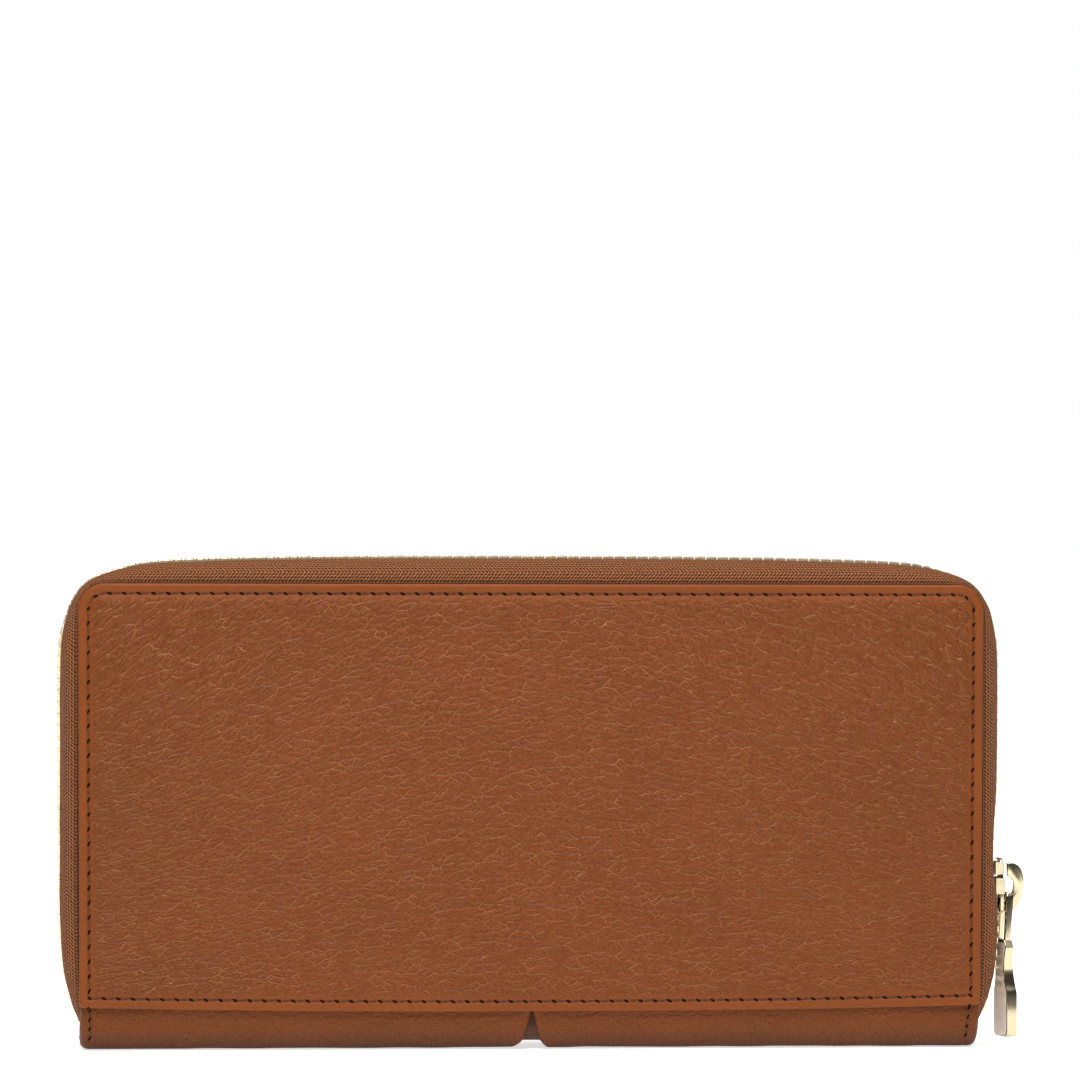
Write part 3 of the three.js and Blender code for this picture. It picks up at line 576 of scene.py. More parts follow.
class Cover:
    """A leather panel over low..high in x, as seen from outside with +x to the right."""

    def __init__(self, low, high, corners, side):
        self.low, self.high, self.side = low, high, side
        self.corners = corners  # radii: top left, top right, bottom left, bottom right
        self.bottom, self.top = HEM_ENDS, COVER_TOP

    def mapped(self, x, z):
        """Rounds the corners of the square grid: (x, z, distance from the edge)."""
        u = np.minimum.reduce([x - self.low, self.high - x, self.top - z, z - self.bottom])
        x, z = x.copy(), z.copy()
        spots = [(cx, cz) for cz in (self.top, self.bottom) for cx in (self.low, self.high)]
        for (cx, cz), radius in zip(spots, self.corners):
            if not radius:
                continue
            ox = cx + radius * (1 if cx == self.low else -1)
            oz = cz + radius * (1 if cz == self.bottom else -1)
            a, b = (x - ox) * (-1 if cx == self.low else 1), (z - oz) * (-1 if cz == self.bottom else 1)
            here = (a > 0) & (b > 0)
            far = np.maximum(np.maximum(a, b), 1e-9)
            shrink = np.where(here, far / np.maximum(np.hypot(a, b), 1e-9), 1)
            u = np.where(here, radius - far, u)
            x = np.where(here, ox + (x - ox) * shrink, x)
            z = np.where(here, oz + (z - oz) * shrink, z)
        return x, z, u

    def place(self, x, z, depth):
        """A point in mm from the outside view's x, z and distance from the middle plane."""
        z = z - hem_drop(x, z, self.bottom)
        x = x * (0.9975 - 0.006 * (1 - smooth(z, -30, 100)))
        return np.stack([x * self.side, -depth * self.side, z], axis=-1)

    def build(self, name, body, node_name):
        x, z = np.meshgrid(lines_between(self.low, self.high), lines_between(self.bottom, self.top))
        x, z, u = self.mapped(x, z)
        flat = self.place(x, z, np.zeros_like(x))
        grain = grain_at(flat.reshape(-1, 3), self.side)
        inner = smooth(u, STITCH_INSET + 0.3, STITCH_INSET + 1.8).ravel()
        strength = 1 + 0.55 * ((x / 90) ** 2 * np.maximum(smooth(z, 20, 75), smooth(-x, 20, 80))).ravel()
        waves = rolling(flat, 14.0, 3.1) * 0.11 + rolling(flat, 5.0, 7.7) * 0.035
        height = (PANEL_BACK + cover_profile(u)).ravel() + inner * (waves + 0.085 * (probe(grain) - 0.6))
        height += (1 - inner) * waves * 0.35 * smooth(u, 0, 1.2).ravel()
        front = self.place(x, z, height.reshape(x.shape))
        index = np.arange(x.size).reshape(x.shape)
        rim = rim_of(index)
        points, faces = [front.reshape(-1, 3)], quads(index)
        last, n = rim, x.size
        rim_x, rim_z = x.ravel()[rim], z.ravel()[rim]
        for depth in (PANEL_BACK + 0.25, PANEL_BACK):
            points.append(self.place(rim_x, rim_z, np.full(len(rim), depth)))
            here = np.arange(n, n + len(rim))
            faces += np.stack([last, here, np.roll(here, -1), np.roll(last, -1)], axis=1).tolist()
            last, n = here, n + len(rim)
        faces.append(last.tolist())
        points = np.concatenate(points)
        spare = len(points) - x.size
        attributes = {
            "grain": np.concatenate([grain, grain[rim], grain[rim]]),
            "inner": np.concatenate([inner * strength, np.zeros(spare)]),
        }
        return piece(name, (points, faces), PEBBLED, body, [node_name], 60, attributes)

    def stitch_place(self, x, z, u, lift):
        return self.place(np.array(x), np.array(z), PANEL_BACK + cover_profile(u) + lift)


def sew(run, place):
    """Needle holes, drawn as dashes of painted shade, and the thread between them along a 2-D run, clockwise
    from outside.
    """
    line = evenly(np.asarray(run, float), STITCH_PITCH)
    tangents = np.gradient(line, axis=0)
    tangents /= np.linalg.norm(tangents, axis=1, keepdims=True)
    holes, threads, ends = [], [], []
    for (x, z), (tx, tz) in zip(line, tangents):
        inward = np.array([tz, -tx])
        slant = np.array([tx, tz]) * math.cos(STITCH_SLANT) + inward * math.sin(STITCH_SLANT)
        at = np.linspace(-1, 1, 6)
        spots = np.array([[x, z] + slant * a * STITCH_REACH for a in at])
        lift = 0.10 - 0.16 * at ** 2
        path = np.array([place(px, pz, h) for (px, pz), h in zip(spots, lift)])
        holes.append(tube(path, 0.07 + 0.19 * np.sqrt(1 - (at * 0.94) ** 2)))
        ends.append((spots[0], spots[-1]))
    for (_, a), (b, _) in zip(ends, ends[1:]):
        at = np.linspace(0, 1, 5)
        path = np.array([place(*(a + (b - a) * t), -0.02 + 0.14 * math.sin(math.pi * t)) for t in at])
        threads.append(tube(path, THREAD_RADIUS))
    return holes, threads


def sewn_cover(cover, runs):
    holes, threads = [], []
    for run in runs:
        h, t = sew(run, lambda x, z, lift: cover.stitch_place(x, z, STITCH_INSET, lift))
        holes += h
        threads += t
    return holes, threads


def outline_run(low, high, left_radius, right_radius, bottom):
    """Up the left edge, over the top and down the right one, at the stitch line."""
    a, b, top = low + STITCH_INSET, high - STITCH_INSET, COVER_TOP - STITCH_INSET
    run = [(a, bottom)]
    if left_radius:
        r = left_radius - STITCH_INSET
        run += arc(a + r, top - r, r, 180, 90, 8)
    else:
        run += [(a, top)]
    if right_radius:
        r = right_radius - STITCH_INSET
        run += arc(b - r, top - r, r, 90, 0, 8)
    else:
        run += [(b, top)]
    return run + [(b, bottom)]


R, B = COVER_CORNER, HEM_CORNER
HEM_RUN = HEM_ENDS + STITCH_INSET
back = Cover(-COVER_HALF, COVER_HALF, (R, R, B, B), 1)
back.build("rear_cover_leather", "back_cover", "back_panel_leather")
stitch_x = COVER_HALF - STITCH_INSET
back_holes, back_threads = sewn_cover(back, [
    outline_run(-COVER_HALF, COVER_HALF, R, R, HEM_ENDS + 0.5),
    [(stitch_x, HEM_RUN), (-stitch_x, HEM_RUN)],
])
piece("rear_stitch_holes", merged(back_holes), HOLE_SHADE, "back_cover")
piece("rear_stitch_thread", merged(back_threads), THREAD, "back_cover")

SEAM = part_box("front_panel_right")[0].x / MM - CENTRE_X
front_holes, front_threads = [], []
for word, low, high in (("left", SEAM, COVER_HALF), ("right", -COVER_HALF, -SEAM)):
    corners = (0.6, R, 0.6, B) if low > 0 else (R, 0.6, B, 0.6)
    half = Cover(low, high, corners, -1)
    half.build(f"front_cover_leather_{word}", "front_cover", f"front_panel_{word}")
    ends = (0, R) if low > 0 else (R, 0)
    run = outline_run(low, high, *ends, HEM_ENDS + 0.5)
    holes, threads = sewn_cover(half, [
        run, [(high - STITCH_INSET, HEM_RUN), (low + STITCH_INSET, HEM_RUN)],
    ])
    front_holes += holes
    front_threads += threads
piece("front_stitch_holes", merged(front_holes), HOLE_SHADE, "front_cover")
piece("front_stitch_thread", merged(front_threads), THREAD, "front_cover")


# ---- spine ----

def spine_profile(inset_by, top=SPINE_LEG_TOP):
    """(y, z) down the rear leg, under the spine and up the front leg, the same count for any inset."""
    y, r = SPINE_Y - inset_by, SPINE_RADIUS - inset_by
    centre = SPINE_Y - SPINE_RADIUS
    half = [(-y, z) for z in np.linspace(top, SPINE_RADIUS, 11)[:-1]]
    half += arc(-centre, SPINE_RADIUS, r, 180, 270, 14)
    half += [(-a, inset_by) for a in np.linspace(centre, 0, 8)[1:]]
    return np.array(half + [(-a, b) for a, b in half[-2::-1]])


def notch_half(z):
    """How far the leather's edge is from the middle: closed at the hem, open at the bottom."""
    side = np.interp(z, [1.2, 7.8, 11.0], [1.75, 0.2, 0.2])
    corner = 1.3 * (1 - np.clip(z / 1.9, 0, 1)) ** 2
    return side + corner


def spine_grid(sign, inset_by, shares):
    """Half of the spine's leather, from the notch to its cut end, which slopes on the right-hand side."""
    rows = []
    for y, z in spine_profile(inset_by):
        low = notch_half(z)
        end = SPINE_HALF + (0.35 - 0.7 * (1 - z / 9.5) if sign > 0 else -0.1)
        rows.append([(sign * (low + (end - low) * t), y, z) for t in shares])
    return np.array(rows)


def pinched(grid, sign):
    """Draws the leather in at its cut ends, round and soft."""
    from_end = grid[..., -1:, 0] * sign - grid[..., 0] * sign
    from_notch = grid[..., 0] * sign - notch_half(grid[..., 2])
    out = grid.copy()
    for distance, radius in ((from_end, 1.7 if sign > 0 else 2.1), (from_notch, 1.0)):
        e = np.clip(distance, 0, radius)
        drop = radius - np.sqrt(np.maximum(radius ** 2 - (radius - e) ** 2, 0))
        towards = np.stack([np.zeros(e.shape), -out[..., 1], 6.0 - out[..., 2]], axis=-1)
        towards[..., 1] *= 0.6
        towards /= np.maximum(np.linalg.norm(towards, axis=-1, keepdims=True), 1e-9)
        out += towards * (drop * 0.72)[..., None]
    return out


SPINE_CORE = np.array([0, 0, 6.0])
end_steps = np.array([0, 0.15, 0.4, 0.75, 1.2, 1.8, 2.6])
shares = np.concatenate([end_steps, np.arange(3.6, 88.6, 0.9), 91.0 - end_steps[::-1]]) / 91.0
for word, sign in (("left", -1), ("right", 1)):
    grid = pinched(spine_grid(sign, 0.0, shares), sign)
    core = pinched(spine_grid(sign, SPINE_LEATHER * 0.8, shares), sign)
    n = normals_of(grid)
    n *= np.where((n * (grid - SPINE_CORE)).sum(axis=2, keepdims=True) < 0, -1, 1)
    waves = rolling(grid * np.array([0.35, 1, 1]), 2.6, 1.3) * 0.10 + rolling(grid, 9.0, 5.0) * 0.12
    grid = grid + n * waves.reshape(grid.shape[:2])[..., None]
    points, faces = shell(grid, core)
    grain = np.stack([points[:, 0], points[:, 2] * 1.2 + points[:, 1], np.zeros(len(points))], axis=1)
    points[:, 2] = np.maximum(points[:, 2], 0.0)
    # painted shade: darker low down where the band curves under towards the floor, and just under the
    # cover's hem
    shade = 0.42 * (1 - smooth(points[:, 2], 0.3, 5.5)) + 0.30 * smooth(points[:, 2], 7.4, 9.0)
    obj = piece(f"spine_band_{word}", (points, faces), SMOOTH, None,
                [f"spine_leather_{word}"], 60,
                {"grain": grain, "inner": np.ones(len(points)), "shade": shade})
    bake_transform(obj)

for word, sign in (("left", -1), ("right", 1)):
    pts = []
    for z in np.arange(8.6, 1.2, -0.95):
        rise = max(0, SPINE_RADIUS - z)
        y = SPINE_RADIUS - SPINE_Y - math.sqrt(max(SPINE_RADIUS ** 2 - rise ** 2, 0.2))
        x = sign * 90.7 - (1.0 * (1 - z / 9) if sign > 0 else 0.0)
        pts.append((x, y - 0.05, z))
    pts = np.array(pts)
    slant = np.array([0.12, 0, 0])
    # the end stitches' holes, as dashes of painted shade
    marks = [tube([a + slant, a * 0.2 + b * 0.8 - slant], 0.2) for a, b in zip(pts[::2], pts[1::2])]
    piece(f"spine_end_hole_shade_{word}", merged(marks), HOLE_SHADE, "back_cover")
    piece(f"spine_end_thread_{word}", tube(pts + [0, 0.05, 0], 0.12), THREAD, "back_cover")

under_x = np.linspace(-8, 8, 17)
sides = []
for inset_by in (1.5, 2.0):
    sides.append(np.array([[(x, y, z) for x in under_x] for y, z in spine_profile(inset_by, 9.5)]))
shape = shell(*sides)
under = piece("spine_under_strip", shape, DARK, None, ["spine_underlay"], 60,
              {"grain": shape[0], "inner": np.ones(len(shape[0]))})
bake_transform(under)


# ---- zip tape and chain ----

ZIP_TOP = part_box("zip_teeth_back")[1].z / MM
RIM_KEYS = np.array([  # rim x, z, and the cover edge that the tape leaves there
    (92.6, 3.8, 91.3, 4.4), (94.4, 7.6, 92.0, 7.6), (95.5, 11.4, 92.3, 11.4), (96.5, 15.5, 92.5, 15.5),
    (97.1, 21, 92.7, 21), (97.45, 28, 92.8, 28), (97.5, 33, 92.9, 33), (97.5, 37, 92.9, 37),
    (97.5, 44, 92.9, 44), (97.5, 52, 92.9, 52),
    (97.5, 64, 92.9, 64), (97.5, 77, 92.9, 77), (97.2, 84, 92.9, 85.2), (95.9, 90.0, 92.7, 90.3),
    (94.6, 92.8, 92.0, 92.4), (93.1, 95.0, 90.8, 94.1), (91.0, 96.8, 89.2, 95.0), (87.5, 98.3, 86.8, 95.2),
    (82, 99.7, 81.8, 95.2), (75, 100.4, 74.9, 95.2), (60, 100.95, 60, 95.2), (38, 101.3, 38, 95.2),
    (18, 101.4, 18, 95.2),
])
RIM_KEYS[:, 1::2] += smooth(RIM_KEYS[:, 1::2], 20, 70) * (ZIP_TOP - 101.4)
LOOSE = (  # how much further out the right rim lies, by its height: flared below the slider, pinched in it
    (4.0, 6.3, 8.8, 12.0, 17.0, 21.3, 25.5, 29.6, 33.0, 36.5, 44.0, 52.0, 60.0),
    (0.7, 0.8, 0.75, 0.85, 0.8, 0.8, 0.7, 0.5, 0.1, -0.5, -0.4, 0.1, 0.3),
)
right_keys = RIM_KEYS.copy()
right_keys[:, 0] += np.interp(RIM_KEYS[:, 1], *LOOSE)
left_keys = RIM_KEYS[::-1] * np.array([-1, 1, -1, 1])
middle = np.array([(0, ZIP_TOP + 0.03, 0, COVER_TOP - 0.4)])
rim_line = evenly(spline(np.concatenate([right_keys, middle, left_keys]), 8), 0.7)
rim, edge = rim_line[:, :2], rim_line[:, 2:]
rim_along = np.concatenate([[0], np.cumsum(np.linalg.norm(np.diff(rim, axis=0), axis=1))])
tangent = np.gradient(rim, axis=0)
tangent /= np.linalg.norm(tangent, axis=1, keepdims=True)
outward = np.stack([tangent[:, 1], -tangent[:, 0]], axis=1)
outward *= np.sign((outward * (rim - [0, 50])).sum(axis=1, keepdims=True))

TAPE_TOP = 0.85  # how far the tape's top lies inside the rim
TAPE_MIDDLE = np.array([0, 0, 50.0])
turns = np.radians(np.linspace(0, 90, 19))


def tape_grid(side, offset):
    """The tape's cloth, from under the cover round to the teeth: (grid moved by the offset, grid)."""
    def row(at, y):
        return np.concatenate([at, np.full((len(rim), 1), y)], axis=1)

    rows = [row(edge - outward * inside, TAPE_BACK_Y) for inside in (TAPE_HIDDEN, 1.2)]
    reach = rim - outward * TAPE_TOP
    for t in turns:
        share = math.sin(min(t * 1.12, math.pi / 2)) ** 0.92
        dip = 0.45 * smooth(math.degrees(t), 72, 90)
        y = TAPE_CHAIN_Y + (TAPE_BACK_Y - TAPE_CHAIN_Y) * math.cos(t) ** 0.9
        rows.append(row(edge + (reach - edge) * share - outward * float(dip), y))
    grid = np.array(rows)
    grid[..., 2] *= 1 - 0.24 * (1 - smooth(grid[..., 1], 7.0, 11.0))
    grid = np.stack([grid[..., 0], grid[..., 2] * side, grid[..., 1]], axis=-1)
    n = normals_of(grid)
    n *= np.where((n * (grid - TAPE_MIDDLE)).sum(axis=2, keepdims=True) < 0, -1, 1)
    return grid + n * offset, grid


for word, side, body in (("back", -1, "back_cover"), ("front", 1, "front_cover")):
    outer, base = tape_grid(side, TAPE_THICKNESS / 2)
    inner_grid, _ = tape_grid(side, -TAPE_THICKNESS / 2)
    wrinkle = rolling(base, 7.0, 2.2).reshape(base.shape[:2]) * 0.07
    wrinkle[:2] = 0
    outer = outer + (outer - base) / (TAPE_THICKNESS / 2) * wrinkle[..., None]
    shape = shell(outer, inner_grid)
    across = np.linalg.norm(np.diff(base, axis=0), axis=2)
    across = np.concatenate([np.zeros((1, base.shape[1])), np.cumsum(across, axis=0)])
    # painted shadow: the tape darkens where it runs in under the cover's edge
    shade = 0.95 * (1 - smooth(across, TAPE_HIDDEN - 0.2, TAPE_HIDDEN + 1.5))
    weave = np.stack([np.broadcast_to(rim_along, across.shape), across, shade], axis=-1).reshape(-1, 3)
    obj = piece(f"zip_tape_cloth_{word}", shape, TAPE, body, [f"zip_tape_{word}"], 60,
                {"weave": np.concatenate([weave, weave])})


def tooth(origin, t, out, side):
    """One metal tooth: a clamp round the tape's cord and a narrower nose past the middle."""
    outline = mirrored([(0.70, 2.35), (0.62, 1.2), (0.44, 0.35), (0.46, -0.35), (0.30, -0.62)])

    def place(a, b, w):
        return np.array([origin[0] + t[0] * a + out[0] * w, side * b, origin[1] + t[1] * a + out[1] * w])

    return prism(outline, -1.75, 0.0, 0.26, place, 2)


CHAIN_FOOT = 7.5  # the height where the teeth begin
CHAIN_OPEN = 33.0  # the height on the right where the slider parts them
chain = np.concatenate([rim, tangent, outward], axis=1)[rim[:, 1] > CHAIN_FOOT]
for word, side, body, start in (("back", -1, "back_cover", 0.0), ("front", 1, "front_cover", 0.5)):
    spots = evenly(chain, TOOTH_PITCH)
    if start:
        spots = np.array([[np.interp(i + 0.5, np.arange(len(spots)), spots[:, k]) for k in range(6)]
                          for i in range(len(spots) - 1)])
    teeth = []
    for x, z, tx, tz, ox, oz in spots:
        sink = 0.40 * float(smooth(z, 83, 90) * (1 - smooth(z, 98.8, 100.4)))
        part = tooth((x - ox * sink, z - oz * sink), (tx, tz), (ox, oz), side)
        if x > 0 and z < CHAIN_OPEN:
            open_by = 1.5 * float(smooth(CHAIN_OPEN - z, 0, 9))
            part = (part[0] + np.array([-0.3 * ox, side * open_by, 0]), part[1])
        teeth.append(part)
    piece(f"zip_teeth_row_{word}", merged(teeth), TEETH, body, [f"zip_teeth_{word}"], 35)


# ---- slider and puller ----

SL_Z0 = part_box("zip_slider")[0].z / MM  # the slider's foot


def in_yz(a, b, w):
    return np.array([w, a, b])


def in_xz(a, b, w):
    return np.array([a, w, b])


def plate_outline(scale=1.0):
    """The slider's shield shape: wide at its mouth end, with a rounded nose."""
    right = [(2.4, 0), (3.4, 0.15), (3.95, 0.7), (4.05, 2.0), (4.05, 5.2),
             (3.6, 7.4), (3.15, 9.0), (3.0, 10.3), (2.5, 11.0), (1.6, 11.4)]
    return mirrored([(a * scale, SL_Z0 + b) for a, b in right])


# The hook's outline down its outside and back up its inside: x, and height over the slider's foot
HOOK_OUTSIDE = [(99.9, 10.2), (100.7, 10.4), (102.0, 10.0), (102.95, 8.9), (103.5, 6.7), (103.35, 5.1),
                (102.85, 3.0), (102.15, 1.4), (101.4, 0.45), (100.3, 0.15), (98.7, 0.3)]
HOOK_INSIDE = [(98.7, 2.4), (99.75, 2.6), (100.55, 3.0), (101.1, 4.3), (101.25, 6.2), (100.8, 7.05),
               (99.95, 7.6)]
hook = np.concatenate([spline(HOOK_OUTSIDE, 4), spline(HOOK_INSIDE, 4)]) + [0, SL_Z0]
slider_parts = [
    prism(plate_outline(), 97.9, 98.85, 0.30, in_yz),
    prism(plate_outline(0.98), 94.0, 95.2, 0.35, in_yz),
    prism(rectangle(-0.45, 0.45, SL_Z0 + 1.4, SL_Z0 + 5.2), 95.1, 98.1, 0.12, in_yz),
    prism(hook, -0.9, 0.9, 0.24, in_xz),
]
for side in (-1, 1):
    for z0, z1, wide in ((SL_Z0 + 4.0, SL_Z0 + 7.3, 4.1), (SL_Z0 + 8.0, SL_Z0 + 10.6, 3.4)):
        cheek = rectangle(side * (wide - 1.2), side * wide, z0, z1)
        slider_parts.append(prism(cheek, 97.0, 99.05, 0.22, in_yz))
        slider_parts.append(prism(cheek, 95.1, 95.7, 0.14, in_yz))
piece("slider_body", merged(slider_parts), GOLD, "slider", ["zip_slider"], 35)

TURN = math.radians(13)
PIVOT_X = 100.1
PIVOT_Z = SL_Z0 + 5.05
LEAN = (  # how far in the puller lies, by the distance down from its pivot
    (0.0, 3.0, 8.0, 11.3, 22.0, 31.0),
    (-0.15, -0.45, -0.6, -0.85, -0.35, -0.35),
)
TAB_LOW, TAB_HIGH, TAB_HALF = SL_Z0 - 25.8, SL_Z0 - 5.7, 3.9
SCOOP_LOW, SCOOP_LENGTH, SCOOP_DEPTH = TAB_LOW + 10.1, 8.0, 1.4
EYE_DROP = 0.8  # from the pivot down to the top of the puller's eye, which hangs in the hook


def puller_place(w, z, t):
    """A point of the puller: width w, height z and thickness t, thinner and leaning in towards its eye."""
    down = PIVOT_Z - z
    thick = t * (0.80 + 0.20 * float(smooth(down, 11, 19))) if down > 10.2 else t
    x = PIVOT_X + float(np.interp(down, *LEAN)) + thick * math.cos(TURN) - w * math.sin(TURN)
    return np.array([x, thick * math.sin(TURN) + w * math.cos(TURN), z])


def puller_prism(outline, low, high, bevel, steps=3):
    return prism(outline, low, high, bevel, puller_place, steps)


def tab_outline(trim=0.0):
    """The tab: a rounded foot, and a scoop for the fingertips out of each long edge."""
    low, high, half, r = TAB_LOW + trim, TAB_HIGH - trim, TAB_HALF - trim, 1.4
    side = [(half, SCOOP_LOW - 1.1), (half - 0.15, SCOOP_LOW - 0.5), (half - 0.45, SCOOP_LOW)]
    for t in np.arange(1, 12) / 12:
        side.append((half - SCOOP_DEPTH * math.sin(math.pi * t) ** 0.5, SCOOP_LOW + SCOOP_LENGTH * t))
    side += [(half - 0.2, TAB_HIGH - 1.5), (half - 1.1, high)]
    foot_left = arc(-half + r, low + r, r, 180, 270, 5)
    foot_right = arc(half - r, low + r, r, 270, 360, 5)
    return foot_left + foot_right + mirrored(side)


def leg(side):
    top = PIVOT_Z - EYE_DROP
    return [(side * 1.6, TAB_HIGH - 0.8), (side * 2.7, TAB_HIGH - 0.8), (side * 2.7, top - 1.3),
            (side * 2.5, top - 0.6), (side * 2.1, top - 0.1), (side * 1.6, top)]


puller_parts = [
    puller_prism(tab_outline(), -1.12, 1.12, 0.16),
    puller_prism(leg(1), -0.80, 0.80, 0.25),
    puller_prism(leg(-1), -0.80, 0.80, 0.25),
    puller_prism(rectangle(-2.1, 2.1, PIVOT_Z - 1.5, PIVOT_Z - EYE_DROP), -0.4, 0.4, 0.2),
]
piece("puller_tab", merged(puller_parts), GOLD, "puller", ["zip_puller"], 35)
faces = [puller_prism(tab_outline(0.42), a, b, 0.02, 1) for a, b in ((-1.17, -1.05), (1.05, 1.17))]
piece("puller_tab_faces", merged(faces), SATIN, "puller", ["zip_puller"], 35)

STOP_X, STOP_Z = 92.4, 5.4
for name, body, sign, y in (("zip_bottom_stop", "back_cover", -1, 0.0),
                            ("zip_top_stop_back", "back_cover", 1, -1.6),
                            ("zip_top_stop_front", "front_cover", 1, 1.6)):
    half_y = 2.0 if sign < 0 else 0.75
    corners = rectangle(y - half_y, y + half_y, STOP_Z - 0.8, STOP_Z + 0.8)
    xs = sorted((sign * (STOP_X - 0.7), sign * (STOP_X + 0.7)))
    piece(f"{name}_clamp", prism(corners, *xs, 0.3, in_yz), TEETH, body, [name])


# ---- inside ----

def ranges(node_name):
    """A node's box in millimetres, measured from the wallet's middle."""
    low, high = (np.array(corner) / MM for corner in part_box(node_name))
    return low - [CENTRE_X, 0, 0], high - [CENTRE_X, 0, 0]


def flat_sheet(node_name, name, mat, body, wave=0.0, step=1.6, seed=1.0, blended=None):
    """A flat sheet with a slight wave in the place of a CAD solid, thin the way that the solid is thin."""
    low, high = ranges(node_name)
    thin_axis = int(np.argmin(high - low))
    a, b = [i for i in range(3) if i != thin_axis]
    lines = [np.linspace(low[i], high[i], max(3, int((high[i] - low[i]) / step))) for i in (a, b)]
    u, v = np.meshgrid(*lines)
    ripple = rolling(np.stack([u, v, u * 0], axis=-1), 16.0, seed).reshape(u.shape) * wave
    sides = []
    for level in (low[thin_axis], high[thin_axis]):
        grid = np.zeros(u.shape + (3,))
        grid[..., a], grid[..., b], grid[..., thin_axis] = u, v, level + ripple
        sides.append(grid)
    flat = np.stack([u, v, u * 0], axis=-1).reshape(-1, 3)
    both = np.concatenate([flat, flat])
    extra = {"weave": both} if mat in (LINING, COIN_TAPE) else {"grain": both, "inner": np.ones(len(both))}
    obj = piece(name, shell(*sides), mat, body, [node_name], 60, extra)
    if blended:
        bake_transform(obj)


for word, body in (("back", "back_cover"), ("front", "front_cover")):
    flat_sheet(f"{word}_lining", f"{word}_lining_cloth", LINING, body)
    for hand in ("left", "right"):
        for row in (1, 2, 3):
            flat_sheet(f"{word}_card_leaf_{hand}_{row}", f"{word}_card_pocket_{hand}_{row}", SMOOTH, body,
                       wave=0.03, seed=row + 2.0)
    flat_sheet(f"coin_pocket_{word}_wall", f"coin_wall_{word}", LINING, "coin_pocket",
               wave=0.12, seed=8.0)
    flat_sheet(f"coin_zip_tape_{word}", f"coin_tape_{word}", COIN_TAPE, "coin_pocket")
for word in ("left", "right"):
    flat_sheet(f"coin_pocket_side_{word}", f"coin_side_{word}", LINING, "coin_pocket", step=1.0)
flat_sheet("coin_pocket_bottom", "coin_bottom", LINING, "coin_pocket", step=1.0)
flat_sheet("front_seam_underlay", "seam_backing", DARK, "front_cover")
flat_sheet("spine_lining", "spine_lining_cloth", LINING, None,
           blended=(("back_cover", "front_cover"), (0, 0.0055, 0.0034), (0, 0.0064, 0.0034)))

# A gusset is a strip of lining cloth folded like a concertina between a cover and the coin pocket.
GUSSET_FOLDS = 4
GUSSET_CLOTH = 0.13  # half its thickness
HALF_WAY = 0.505  # where along a blend the coin pocket's share of the turn is reached
for side_word, side in (("back", -1), ("front", 1)):
    for hand, sign in (("left", -1), ("right", 1)):
        node_name = f"gusset_{side_word}_{hand}"
        low, high = ranges(node_name)
        near, far = sorted((abs(low[1]), abs(high[1])))
        x_low, x_high = sorted((abs(low[0]), abs(high[0])))
        turn = np.linspace(0, GUSSET_FOLDS + 0.4, 55)
        across_x = (x_low + x_high) / 2 + (x_high - x_low - 0.5) / 2 * np.cos(math.pi * turn)
        across_y = far - 0.2 - (far - near - 0.4) * np.minimum(turn / GUSSET_FOLDS, 1)
        heights = np.linspace(low[2], high[2], 31)
        grid = np.array([[(sign * x, side * y, z) for x, y in zip(across_x, across_y)] for z in heights])
        n = normals_of(grid)
        length = float(np.linalg.norm(np.diff(grid[0], axis=0), axis=1).sum())
        run = np.broadcast_to(np.linspace(0, length, len(turn)), grid.shape[:2])
        weave = np.stack([run, grid[..., 2], run * 0], axis=-1).reshape(-1, 3)
        shape = shell(grid + n * GUSSET_CLOTH, grid - n * GUSSET_CLOTH)
        obj = piece(f"{node_name}_cloth", shape, LINING, None, [node_name], 60,
                    {"weave": np.concatenate([weave, weave])})
        if side < 0:
            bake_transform(obj)
        else:
            # the coin pocket leans half as far as the cover; start is worked out from that but not used, and
            # the cloth is baked as it is
            start = (near + 0.07 - HALF_WAY * far) / (1 - HALF_WAY)
            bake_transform(obj)

COIL_PITCH, COIL_WIRE = 1.15, 0.16  # a turn's length and the wire's radius
for word in ("back", "front"):
    coil = f"coin_zip_coil_{word}"
    low, high = ranges(coil)
    centre, reach = (low + high) / 2, (high - low) / 2 - COIL_WIRE
    turns_count = int((high[0] - low[0]) / COIL_PITCH)
    angle = np.linspace(0, 2 * math.pi * turns_count, turns_count * 8 + 1)
    x = np.linspace(low[0] + 0.2, high[0] - 0.2, len(angle))
    y = centre[1] + reach[1] * np.cos(angle)
    z = centre[2] + reach[2] * np.sin(angle)
    shape = tube(np.stack([x, y, z], axis=1), COIL_WIRE, 5)
    piece(f"coin_coil_{word}", shape, COIL, "coin_pocket", [coil], 60)


# ---- frame nodes that keep their shape ----

KEPT = {
    BOARD: ("back_board", "front_board", "spine_board"),
    GOLD: ("coin_zip_slider", "coin_zip_puller"),
}
for mat, names in KEPT.items():
    for name in names:
        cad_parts[name].material_slots[0].material = mat


# ---- stage, light and camera ----

FLOOR, FLOOR_LEVEL = 60.0, -0.0002  # half its side and its height, in metres
floor_mesh = bpy.data.meshes.new("floor")
corners = [(x, y, FLOOR_LEVEL) for x, y in rectangle(-FLOOR, FLOOR, -FLOOR, FLOOR)]
floor_mesh.from_pydata(corners, [], [(0, 1, 2, 3)])
floor = bpy.data.objects.new("floor", floor_mesh)
floor_material, _, floor_shader = material("floor_white", (0.9, 0.9, 0.9))
floor_shader.inputs["Roughness"].default_value = 0.9
floor_shader.inputs["Specular IOR Level"].default_value = 0.0
floor_shader.inputs["Emission Color"].default_value = (1, 1, 1, 1)
floor_shader.inputs["Emission Strength"].default_value = 0.66
floor_mesh.materials.append(floor_material)
bpy.context.scene.collection.objects.link(floor)
floor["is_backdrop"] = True

world = bpy.data.worlds.new("studio")
bpy.context.scene.world = world
world.use_nodes = True
wt = world.node_tree
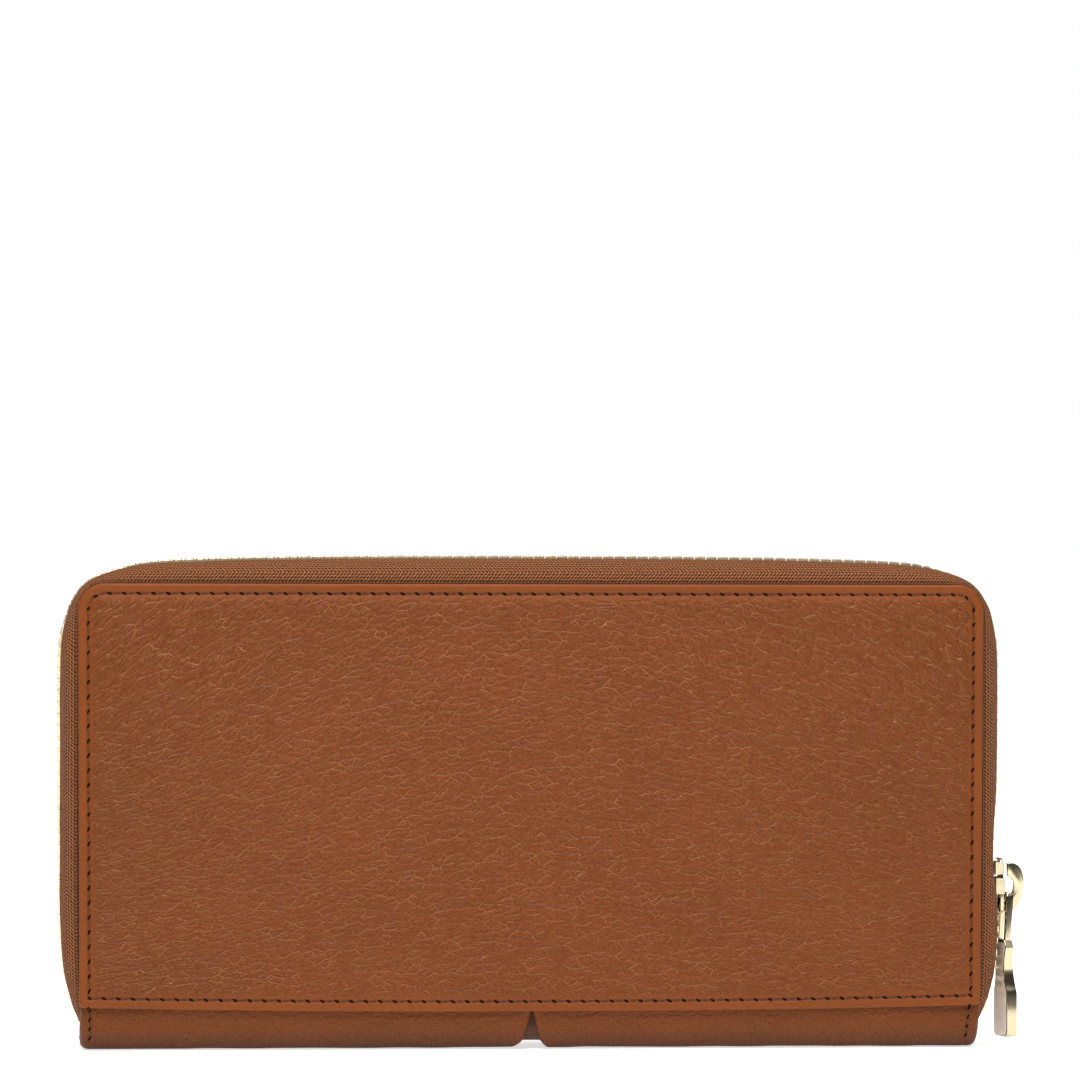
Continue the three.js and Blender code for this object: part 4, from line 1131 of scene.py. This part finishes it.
way = node(wt, "ShaderNodeSeparateXYZ", {0: node(wt, "ShaderNodeTexCoord").outputs["Generated"]}).outputs[2]
stops = node(wt, "ShaderNodeValToRGB", {0: maths(wt, "ABSOLUTE", way)})
ramp_stops = ((0.0, 0.62), (0.07, 0.5), (0.15, 0.14), (0.60, 0.14), (0.70, 1.0), (1.0, 1.3))
elements = stops.color_ramp.elements
while len(elements) < len(ramp_stops):
    elements.new(0.5)
for element, (position, value) in zip(elements, ramp_stops):
    element.position = position
    element.color = (value, value, value, 1)
lighting = wt.nodes["Background"]
wt.links.new(stops.outputs[0], lighting.inputs["Color"])
lighting.inputs["Strength"].default_value = 0.70
backdrop = node(wt, "ShaderNodeBackground", {"Color": (1, 1, 1, 1), "Strength": 1.0})
seen_directly = node(wt, "ShaderNodeLightPath").outputs["Is Camera Ray"]
both = node(wt, "ShaderNodeMixShader", {0: seen_directly, 1: lighting.outputs[0], 2: backdrop.outputs[0]})
wt.links.new(both.outputs[0], wt.nodes["World Output"].inputs["Surface"])


def lamp(name, location, target, size, power):
    data = bpy.data.lights.new(name, "AREA")
    data.shape, data.size, data.size_y, data.energy = "RECTANGLE", size[0], size[1], power
    obj = bpy.data.objects.new(name, data)
    obj.location = location
    obj.rotation_euler = (Vector(target) - Vector(location)).to_track_quat("-Z", "Y").to_euler()
    bpy.context.scene.collection.objects.link(obj)


lamp("key", (-0.3, -0.95, 1.35), (0, 0, 0.05), (0.4, 0.4), 18)
lamp("top", (0.1, -0.3, 1.5), (0, 0, 0.05), (1.0, 0.6), 24)

toward = Vector((math.sin(CAMERA_AZIMUTH), -math.cos(CAMERA_AZIMUTH), 0))
camera_data = bpy.data.cameras.new("camera")
camera = bpy.data.objects.new("camera", camera_data)
bpy.context.scene.collection.objects.link(camera)
target = Vector(((CAMERA_TARGET[0] + CENTRE_X) * MM, 0, CAMERA_TARGET[1] * MM))
camera.location = target + toward * CAMERA_DISTANCE * MM
level = (-toward).to_track_quat("-Z", "Y")
camera.rotation_euler = (level @ Quaternion((0, 0, 1), CAMERA_ROLL)).to_euler()
camera_data.sensor_width = SENSOR_WIDTH
camera_data.lens = SENSOR_WIDTH * CAMERA_DISTANCE / FRAME_WIDTH
camera_data.clip_start, camera_data.clip_end = 0.01, 50.0
bpy.context.scene.camera = camera
bpy.context.scene.view_settings.view_transform = "Standard"

low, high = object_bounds()
{"cad": [list(CAD_LOW), list(CAD_HIGH)], "visual": [list(low), list(high)]}
